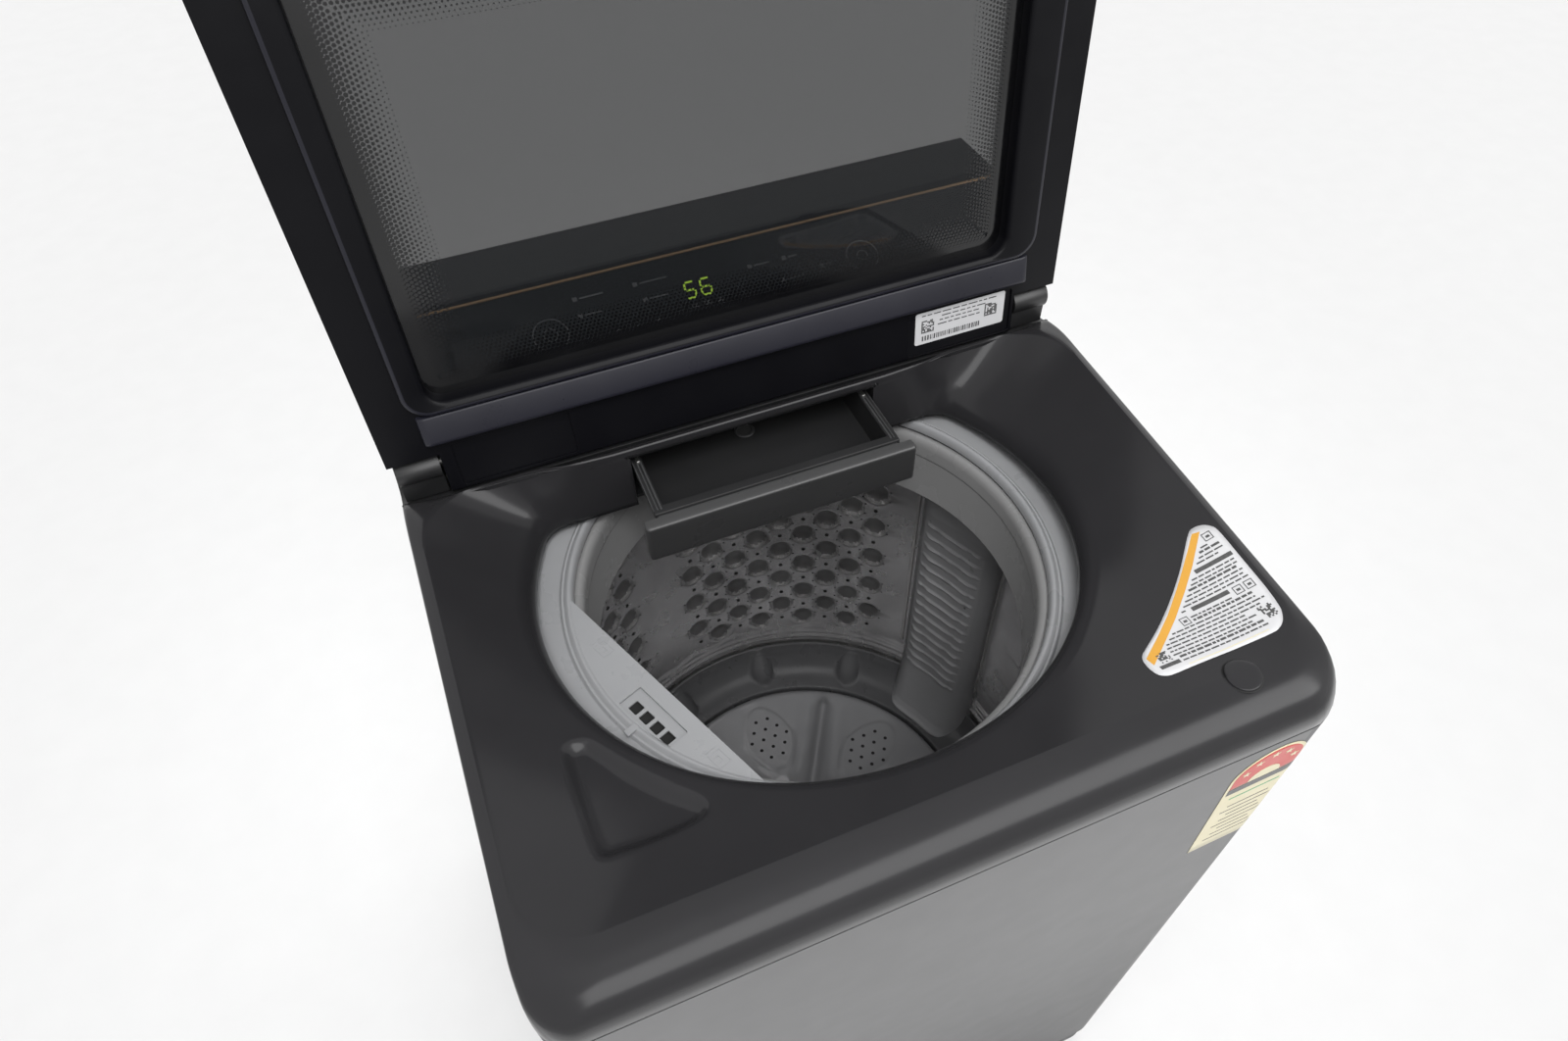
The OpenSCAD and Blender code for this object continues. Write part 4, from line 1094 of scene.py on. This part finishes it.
# ------------------------------------------------------------ lint filters
FILTER_LOW, FILTER_TOP = 350.5, 742.0
ROUND_FROM = 712       # start of the filter's round top
RIB_LOW, RIB_TOP, RIB_PITCH = 432, 700, 17.0
FIELD_HALF = 0.80      # ribbed field, as a share of the filter's half width


def build_filter(name, node, middle):
    """Ribbed filter panel on the drum's wall, with a round top and a flared foot."""
    heights = np.concatenate([np.linspace(FILTER_LOW, 400, 30), np.linspace(400, 690, 170)[1:],
                              np.linspace(690, FILTER_TOP, 30)[1:]])
    shares = np.linspace(-1, 1, 61)
    v, z = np.meshgrid(shares, heights)
    half = np.interp(heights, [FILTER_LOW, 372, 400, 430], [13.8, 13.2, 12.7, 12.3])[:, None]
    round_top = np.sqrt(np.clip(1 - (np.clip((z - ROUND_FROM) / 30, 0, 1)) ** 2, 0, 1))
    side = np.sign(v) * np.abs(v) ** 0.8
    az = np.radians(middle + half * side * (0.80 + 0.20 * round_top))
    depth = np.interp(z, [FILTER_LOW, 355, 362, 374, 390, 410, 430, ROUND_FROM, FILTER_TOP],
                      [48, 43, 39, 35.5, 32, 29, 27, 23, 10])
    crown = np.clip(1 - np.abs(side) ** 5, 0, 1) ** 0.5
    r = DRUM_R - 0.6 - depth * crown * np.maximum(round_top, 0.02)
    flat = (np.abs(side) < FIELD_HALF) & (z > RIB_LOW) & (z < RIB_TOP)
    rib_z = (z - RIB_LOW - 4 * side ** 2) % RIB_PITCH - RIB_PITCH / 2
    rib = np.exp(-(rib_z / 1.2) ** 2) * (1 - smooth_step(0.70, FIELD_HALF, np.abs(side)))
    edge_line = np.exp(-((np.abs(side) - FIELD_HALF) / 0.02) ** 2)
    edge_line = edge_line * (z > RIB_LOW + 8) * (z < RIB_TOP)
    r = np.where(flat, r - 2.4 * rib, r) - 1.2 * edge_line
    faces = grid_faces(len(heights), len(shares))
    mesh_piece(name, turned_grid(r, az, z), faces, "basket",
               "filter", [node], crease=60, thick=1.6)
    slits = []
    for z_mid, v0, v1 in ((604.5, -0.62, 0.5), (519.5, -0.55, -0.02)):
        slit_r = DRUM_R - 1.2 - np.interp(z_mid, [430, ROUND_FROM], [27, 23])
        for share in np.linspace(v0, v1, 13):
            for dz in (-1.2, 1.2):
                slits.append(turned(slit_r, math.radians(middle + 12.4 * share),
                                    z_mid + 4 * share ** 2 + dz))
    slit_faces = [(s + 2 * k, s + 2 * k + 2, s + 2 * k + 3, s + 2 * k + 1)
                  for s in (0, 26) for k in range(12)]
    # dark strips of painted shade stand for the slits
    mesh_piece(name + "_slit_shade", slits, slit_faces, "basket", "dark",
               smooth=False, thick=0.2)


build_filter("filter_right", "lint_filter_right", 23.0)
build_filter("filter_left", "lint_filter_left", 203.0)


# ------------------------------------------------------------------- lid
def lid_outline():
    """Edge of the lid's inner frame, with a notch at each hinge."""
    edge, notch_x, notch_s = HALF_W, 255, 17
    points = [(-notch_x, LID_LOW_S), (notch_x, LID_LOW_S), (notch_x, notch_s), (edge, notch_s)]
    for start, sign in ((0, 1), (90, -1)):
        cx = sign * (edge - 14)
        points += [(cx + 14 * math.cos(math.radians(start + 9 * k)),
                    LID_TOP_S - 14 + 14 * math.sin(math.radians(start + 9 * k)))
                   for k in range(11)]
    return points + [(-edge, notch_s), (-notch_x, notch_s)]


POCKETS = [(-244.5, -151.5, -17, 24), (150.5, 252, -19, 24)]
lid_edges = [lid_outline(), rounded_box(*grown(RIM, -4), 16)[::-1]]
plate("lid_inner_plate", lid_edges, 1.5, 12, on_lid, "lid", "lid",
      ["lid_inner_frame"], bevel=0.8)
plate("lid_inner_face", lid_edges + [rounded_box(*p, 2.5, 4)[::-1] for p in POCKETS],
      0, 1.6, on_lid, "lid", "lid", bevel=0.5)


def build_rim():
    """Raised rim round the glass: outer wall, round edge, sloped band and inner wall."""
    loops = [(RIM, 20, 1.4), (RIM, 20, -3.8), (grown(RIM, -0.5), 19.6, -4.8),
             (grown(RIM, -1.8), 18.6, -5.3), (grown(RIM, -3.2), 17.4, -5.3),
             (grown(GLASS, 4.6), 17, -4.4), (grown(GLASS, 2.6), 15.4, -3.8),
             (grown(GLASS, 1.4), 14.4, -2.6), (grown(GLASS, 1.0), 14, 0),
             (grown(GLASS, 0.8), 14, 7.9), (grown(RIM, -4.2), 16, 7.9),
             (grown(RIM, -4.2), 16, 1.4)]
    points = []
    for box, radius, n in loops:
        points += [on_lid(x, s, n) for x, s in rounded_box(*box, radius, 10)]
    count = len(points) // len(loops)
    faces = grid_faces(len(loops), count, close_rows=True, close_cols=True)
    # two face rows along the rim's round edge take the lighter colour: a painted highlight line
    kinds = [1 if f // count in (2, 3) else 0 for f in range(len(faces))]
    mesh_piece("lid_rim", points, faces, "lid", "lid lid_band",
               face_mats=kinds, crease=50)


build_rim()


def build_beam():
    """Sloped beam below the glass, with a crease along its lower edge; it takes the lighter band
    colour, a painted highlight.
    """
    profile = [(55.8, 1.2), (54.6, -3.4), (53.2, -4.1), (34.4, -7.3), (32.6, -7.5), (31.2, -6.9),
               (30.2, -5.4), (29.6, 0.5)]
    half = 262
    ends = [(-half, 0.0), (-half + 0.6, 0.6), (-half + 2.5, 0.9), (-half + 6, 1.0),
            (half - 6, 1.0), (half - 2.5, 0.9), (half - 0.6, 0.6), (half, 0.0)]
    points = []
    for x, share in ends:
        for s, n in profile:
            points.append(on_lid(x, s, 0.6 + (n - 0.6) * (0.35 + 0.65 * share) if n < 0 else n))
    size, last = len(profile), len(points) - len(profile)
    faces = grid_faces(len(ends), size, close_cols=True)
    faces += [tuple(range(size))[::-1], tuple(range(last, last + size))]
    mesh_piece("lid_beam", points, faces, "lid", "lid_band", crease=50,
               bevel=0.5)


build_beam()

# black print round the glass, with a border of dots that fade inwards
FRIT = 9
plate("glass_border",
      [rounded_box(*grown(GLASS, 6), 16), rounded_box(*grown(GLASS, -FRIT), 10)[::-1]],
      7.72, 7.92, on_lid, "lid", "frit", bevel=None)


def build_dots():
    """Eleven rows of dots inside the black border, smaller towards the middle."""
    pitch, rows, loops = 3.3, 11, []
    for k in range(rows):
        x0, x1, s0, s1 = grown(GLASS, -FRIT - pitch * (k * 0.87 + 0.2))
        shift = pitch / 2 * (k % 2)
        spots = [(x, s) for s in (s0, s1) for x in np.arange(x0 + shift, x1, pitch)]
        spots += [(x, s) for x in (x0, x1) for s in np.arange(s0 + shift + pitch, s1 - 1, pitch)]
        dot = circle(1.75 - 1.35 * k / (rows - 1), 8)
        loops += [[on_lid(x + u, s + v, 7.8) for u, v in dot] for x, s in spots]
    loops_piece("glass_dots", loops, "lid", "frit", 0.05)


build_dots()
plate("glass_pane", [rounded_box(*grown(GLASS, 7), 16)], 8, 12, on_lid, "lid",
      "glass", ["lid_glass"], bevel=0.4)


def build_rating():
    """Label in the right pocket: bars, squares and small marks, no lettering."""
    x0, x1, s0, s1 = 157, 246, -9, 23
    face = 1.35
    plate("rating_label", [rounded_box(x0, x1, s0, s1, 2, 3)], face - 0.25, face, on_lid, "lid",
          "paper", bevel=None)
    marks, top, x = [], face - 0.32, x0 + 7
    while x < x1 - 24:
        wide = random.choice((0.6, 1.0, 1.5))
        marks.append((x, x + wide, s0 + 3, s0 + 8, top, face))
        x += wide + random.choice((0.8, 1.2))
    for left in (x0 + 6, x1 - 20):
        for i in range(9):
            for j in range(9):
                edge = (i in (0, 8) or j in (0, 8))
                if edge and (i < 3 or j < 3) or random.random() < 0.5:
                    marks.append((left + i * 1.4, left + i * 1.4 + 1.3, s0 + 11 + j * 1.4,
                                  s0 + 12.3 + j * 1.4, top, face))
    for row in range(4):
        x = x0 + 6
        while x < x1 - (8 if row == 0 else 26):
            word = random.uniform(3, 9)
            if row == 0 or x > x0 + 22:
                marks.append((x, min(x + word, x1 - 5), s1 - 4 - 4 * row, s1 - 2.9 - 4 * row,
                              top, face))
            x += word + 1.6
    bars("rating_marks", marks, on_lid, "lid", "ink")


build_rating()

# ------------------------------------------------------------------ drawer
def build_drawer():
    """Drawer's front with a light chamfer, and its ledge."""
    x, y0, y1 = FRONT_HIGH[0], FRONT_LOW[1], FRONT_HIGH[1] - 2.0
    z0, z1 = FRONT_LOW[2], FRONT_HIGH[2]
    loops = [(3.4, y0, 0.8), (2.2, y0 + 0.1, 0.8), (0.7, y0 + 1.1, 2.3), (0, y0 + 2.4, 3),
             (0, y1, 3), (3, y1, 1.2), (3.4, y0 + 3.2, 1.2)]
    points = []
    for inset, y, radius in loops:
        points += [(u, y, w) for u, w in rounded_box(*grown((-x, x, z0, z1), -inset), radius, 4)]
    count = len(points) // len(loops)
    faces = grid_faces(len(loops), count, close_cols=True)
    faces += [tuple(range(count)), tuple(range(len(points) - count, len(points)))[::-1]]
    mesh_piece("drawer_face", points, faces, "drawer", "drawer",
               ["drawer_front"], crease=50, weld=0.001)
    ledge = [(-109.5, y1 - 0.5), (-108, y1 + 2.6), (-110.5, y1 + 4.5), (-110, y1 + 8.5),
             (-106.5, y1 + 11), (106.5, y1 + 11), (110, y1 + 8.5), (110.5, y1 + 4.5),
             (108, y1 + 2.6), (109.5, y1 - 0.5)]
    plate("drawer_ledge", [ledge], z1 - 4.5, z1 - 1.0, as_is, "drawer",
          "rail", bevel=0.7)


def build_rails():
    """Two slide rails on each side of the tray, with a groove and a spring clip."""
    y0, y1, top = TRAY_LOW[1], *TRAY_HIGH[1:]
    boxes, metal = [], []
    for side in (-1, 1):
        for near, far, high in ((103.0, 104.6, 0.8), (104.6, 106.2, -1.6), (106.2, 107.4, 0.6),
                                (107.4, 109.3, -3.0), (109.3, 110.6, 0.0)):
            a, b = sorted((side * near, side * far))
            boxes.append((a, b, y0 + 4, y1, top - 6, top + high))
        a, b = sorted((side * 104.0, side * 106.8))
        metal.append((a, b, y0 + 62, y0 + 76, top - 1.0, top + 1.7))
        metal.append((a + 0.6, b - 0.6, y0 + 76, y0 + 94, top - 1.0, top + 0.9))
    bars("drawer_rails", boxes, as_is, "drawer",
         "rail", bevel=0.3)
    bars("drawer_springs", metal, as_is, "drawer",
         "zinc", ["drawer_clips"], bevel=0.5)


def build_tray_ring():
    """Thin collar round the hole in the tray's floor; a dark disc of painted shade fills the hole.
    """
    floor_z, count = TRAY_LOW[2] + 2.3, 40
    points = [(1.6 + u, AXIS_Y + 154 + v, floor_z + z)
              for r, z in ((7.2, 0.1), (7.2, 0.8), (7.8, 1.1), (8.8, 1.0), (9.4, 0.1))
              for u, v in circle(r, count)]
    faces = grid_faces(5, count, close_cols=True)
    mesh_piece("tray_ring", points, faces + [tuple(range(count))], "drawer",
               "rail dark", crease=50, thick=0.1,
               face_mats=[0] * len(faces) + [1])


build_drawer()
build_tray_ring()
build_rails()

# ----------------------------------------------------------------- console
SLOPE = math.radians(25.6)
PANEL_T = 1.6


def on_panel(x, a, h):
    """a up the console's slope from the panel's lower edge, h above its face."""
    cos, sin, out = math.cos(SLOPE), math.sin(SLOPE), h + PANEL_T
    return (x, PANEL_LOW[1] + a * cos - h * sin, PANEL_LOW[2] + a * sin + out * cos)


def ring_faces(name, rings, mat):
    """Thin printed rings (x, a, radius, width) on the panel."""
    points, faces, count = [], [], 48
    for x, a, radius, width in rings:
        start = len(points)
        for r in (radius, radius - width):
            points += [on_panel(x + u, a + v, 0.12) for u, v in circle(r, count)]
        faces += [tuple(start + v for v in f) for f in grid_faces(2, count, close_cols=True)]
    mesh_piece(name, points, faces, "cabinet", mat, smooth=False, thick=0.06)


BUTTON_A = 30
ring_faces("button_rings", [(-144, BUTTON_A, 15, 1.1), (137, BUTTON_A, 15, 1.1),
                            (-144, BUTTON_A, 6, 0.7), (137, BUTTON_A, 5, 0.7)], "print")


def build_digits():
    """Two lit seven-segment digits and the row of small marks below them."""
    boxes = []
    w, h, t, lean = 8.5, 15.0, 1.7, 0.12
    shapes = {"a": (0, h, 1), "g": (0, h / 2, 1), "d": (0, 0, 1), "f": (0, h / 2, 0),
              "e": (0, 0, 0), "c": (w, 0, 0)}
    for index, segments in enumerate(("afgcd", "afgedc")):
        left, low = -26 + 14 * index, BUTTON_A + 1
        for key in segments:
            u, v, flat = shapes[key]
            if flat:
                boxes.append((left + u + 1, left + u + w - 1, low + v - t / 2, low + v + t / 2))
            else:
                boxes.append((left + u - t / 2, left + u + t / 2, low + v + 1, low + v + h / 2 - 1))

    def place(u, v, n):
        return on_panel(u + (v - BUTTON_A) * lean, v, n)
    bars("panel_digits", [(*box, 0.02, 0.2) for box in boxes], place, "cabinet",
         "digits")
    marks = [(-24 + 11 * k, -18 + 11 * k, BUTTON_A - 9, BUTTON_A - 5, 0.02, 0.14)
             for k in range(3)]
    for x, a, wide in ((-118, 56, 26), (-118, 40, 20), (-66, 56, 30), (-62, 40, 22), (-92, 18, 24),
                       (-58, 18, 18), (34, 46, 20), (66, 46, 14), (58, 26, 22), (96, 30, 12)):
        marks.append((x, x + 4, a - 2, a + 2, 0.02, 0.14))
        marks.append((x + 6, x + wide, a - 0.7, a + 0.7, 0.02, 0.14))
    bars("panel_marks", marks, on_panel, "cabinet", "print")


build_digits()


# --------------------------------------------------- sticker on the cabinet
def on_front(u, z, lift):
    """u across the cabinet's front, round its right corner, z up."""
    start = HALF_W - CORNER_R
    if u <= start:
        return (u, FRONT_Y - lift, z)
    turn = (u - start) / CORNER_R
    r = CORNER_R + lift
    return (start + r * math.sin(turn), FRONT_Y + CORNER_R - r * math.cos(turn), z)


STICK_WIDE, STICK_TALL, STICK_LEAN = 66.0, 131.0, math.radians(3.7)


def on_sticker(across, up, lift):
    """A point of the slightly tilted sticker, from its lower left corner."""
    cos, sin = math.cos(STICK_LEAN), math.sin(STICK_LEAN)
    return on_front(219.3 + across * cos - up * sin,
                    DECK_Z - 244.3 + across * sin + up * cos, lift)


def sticker_patch(name, low, high, mat, lift, inset=0.0, arch=False):
    """Part of the sticker between two heights, with a round top where arch is set."""
    rows, cols = 12, 30
    radius = STICK_WIDE / 2 - inset
    points = []
    for j in range(rows + 1):
        for i in range(cols + 1):
            side = -radius * math.cos(math.pi * i / cols)
            swell = math.sqrt(max(0, radius ** 2 - side ** 2)) if arch else 0
            up = low + (high + swell - low) * j / rows
            points.append(on_sticker(STICK_WIDE / 2 + side, up, lift))
    mesh_piece(name, points, grid_faces(rows + 1, cols + 1), "cabinet", mat,
               thick=0.12)


def sticker_stars():
    """Five plain stars along the sticker's arch."""
    star = []
    for n in range(10):
        r, t = (1.7 if n % 2 else 4.2), math.pi / 2 + math.pi * n / 5
        star.append((r * math.cos(t), r * math.sin(t)))
    loops = []
    for k in range(5):
        at = math.radians(162 - 36 * k)
        across, up = STICK_WIDE / 2 + 22 * math.cos(at), STICK_TALL + 22 * math.sin(at)
        loops.append([on_sticker(across + u, up + v, 0.62) for u, v in star])
    loops_piece("sticker_stars", loops, "cabinet", "cream", 0.1)


sticker_patch("sticker_sheet", 0, STICK_TALL, "cream", 0.3, arch=True)
sticker_patch("sticker_arch", 119, STICK_TALL, "label_red", 0.45, 3, arch=True)
sticker_patch("sticker_dome", 119, 120, "cream", 0.58, 19, arch=True)
sticker_patch("sticker_band", 108, 118, "ink", 0.45, 3)
sticker_patch("sticker_rule", 96, 98, "label_green", 0.45, 10)
sticker_stars()
for line in range(8):
    sticker_patch(f"sticker_row_{line}", 16 + 9 * line, 17.4 + 9 * line, "ink", 0.42,
                  10 + 4 * (line % 3))

# ------------------------------------------- CAD nodes with their finishes
CARRIED = {
    "base": ["base_frame"], "rubber": ["foot_front_left", "foot_front_right", "foot_rear_left",
                                       "foot_rear_right", "cable_gland", "lid_bumpers"],
    "zinc": ["lock_nuts", "corner_brackets", "hinge_pins", "rod_front_left", "rod_front_right",
             "rod_rear_left", "rod_rear_right", "drum_hub", "wash_shaft"],
    "cabinet": ["cabinet_wrap"], "back": ["back_panel"],
    "black": ["console_housing", "hinge_damper_left", "hinge_damper_right", "drain_outlet",
              "drain_pump"],
    "panel": ["console_panel"], "trim": ["trim_strip"], "board": ["control_board"],
    "spring": ["spring_front_left", "spring_front_right", "spring_rear_left",
               "spring_rear_right"],
    "blue": ["inlet_valve_cold"], "red": ["inlet_valve_hot"], "tub": ["outer_tub", "tub_lugs"],
    "cast": ["bearing_housing"], "bearing": ["bearings"], "copper": ["stator"],
    "rotor": ["rotor"], "chrome": ["pulsator_cap"], "lid": ["lid_outer_frame"],
    "bush": ["hinge_bushes"], "tray": ["drawer_tray"],
}
NO_BEVEL = ("spring", "board", "bearing", "copper")
for key, names in CARRIED.items():
    for name in names:
        obj = frame["nodes"][name]
        obj.data.materials.clear()
        obj.data.materials.append(MAT[key])
        if key not in NO_BEVEL:
            weld = obj.modifiers.new("weld", "WELD")
            weld.merge_threshold = 0.00002
            round_edges(obj, 0.3 if name == "cabinet_wrap" else 0.7, 2, 40)

# ------------------------------------------------------ floor, light, camera
FLOOR_HALF = 9000
floor_mat = finish_of("floor_pale", (0.80, 0.80, 0.80), 0.7, tint=0.01, grain=0.05)
floor_mesh = bpy.data.meshes.new("floor")
floor_mesh.from_pydata([(x * FLOOR_HALF * MM, y * FLOOR_HALF * MM, 0)
                        for x, y in ((-1, -1), (1, -1), (1, 1), (-1, 1))], [], [(0, 1, 2, 3)])
floor_mesh.materials.append(floor_mat)
floor = bpy.data.objects.new("floor", floor_mesh)
bpy.context.scene.collection.objects.link(floor)

world = bpy.data.worlds.new("studio")
world.use_nodes = True
world.node_tree.nodes["Background"].inputs["Color"].default_value = (1, 1, 1, 1)
world.node_tree.nodes["Background"].inputs["Strength"].default_value = 1.12
bpy.context.scene.world = world
bpy.context.scene.view_settings.view_transform = "Standard"


def softbox(name, place, aim, size, power, diffuse=True, glossy=True, spread=180,
            seen=True):
    """A soft rectangular light at a place, turned towards a point."""
    light = bpy.data.lights.new(name, "AREA")
    light.shape = "RECTANGLE"
    light.size, light.size_y = size
    light.energy = power
    light.spread = math.radians(spread)
    obj = bpy.data.objects.new(name, light)
    obj.location = place
    obj.rotation_euler = (Vector(aim) - Vector(place)).to_track_quat("-Z", "Y").to_euler()
    obj.visible_diffuse = diffuse
    obj.visible_glossy = glossy
    obj.visible_camera = seen
    bpy.context.scene.collection.objects.link(obj)


softbox("top_softbox", (0.2, -0.6, 3.2), (0, 0, 0.9), (2.2, 2.2), 5, glossy=False)
softbox("basket_softbox", (-0.2, -0.75, 2.2), (0.03, 0.1, 0.6), (0.6, 0.6), 3.0, glossy=False,
        spread=60)
softbox("front_softbox", (0.4, -3.2, 1.5), (0, 0, 0.7), (3.0, 1.4), 8, glossy=False)
softbox("lip_softbox", (0.9, -2.3, 2.5), (0, -0.3, 0.93), (4.0, 1.8), 120, diffuse=False)
softbox("low_softbox", (0.6, -0.95, 0.03), (0.6, -0.95, 1.0), (4.0, 1.0), 11, diffuse=False,
        seen=False)

CAMERA_PLACE = (-0.20957, -0.4901, 1.5049)
CAMERA_TURNS = ((-23.23, "Z"), (40.79, "X"), (1.36, "Y"))
camera_data = bpy.data.cameras.new("camera")
camera_data.sensor_width = 36
camera_data.lens = 22.77
camera_data.shift_x, camera_data.shift_y = 0.0028, 0.0054
camera = bpy.data.objects.new("camera", camera_data)
camera.matrix_world = Matrix.Translation(CAMERA_PLACE)
for degrees, axis in CAMERA_TURNS:
    camera.matrix_world = camera.matrix_world @ Matrix.Rotation(math.radians(degrees), 4, axis)
bpy.context.scene.collection.objects.link(camera)
bpy.context.scene.camera = camera
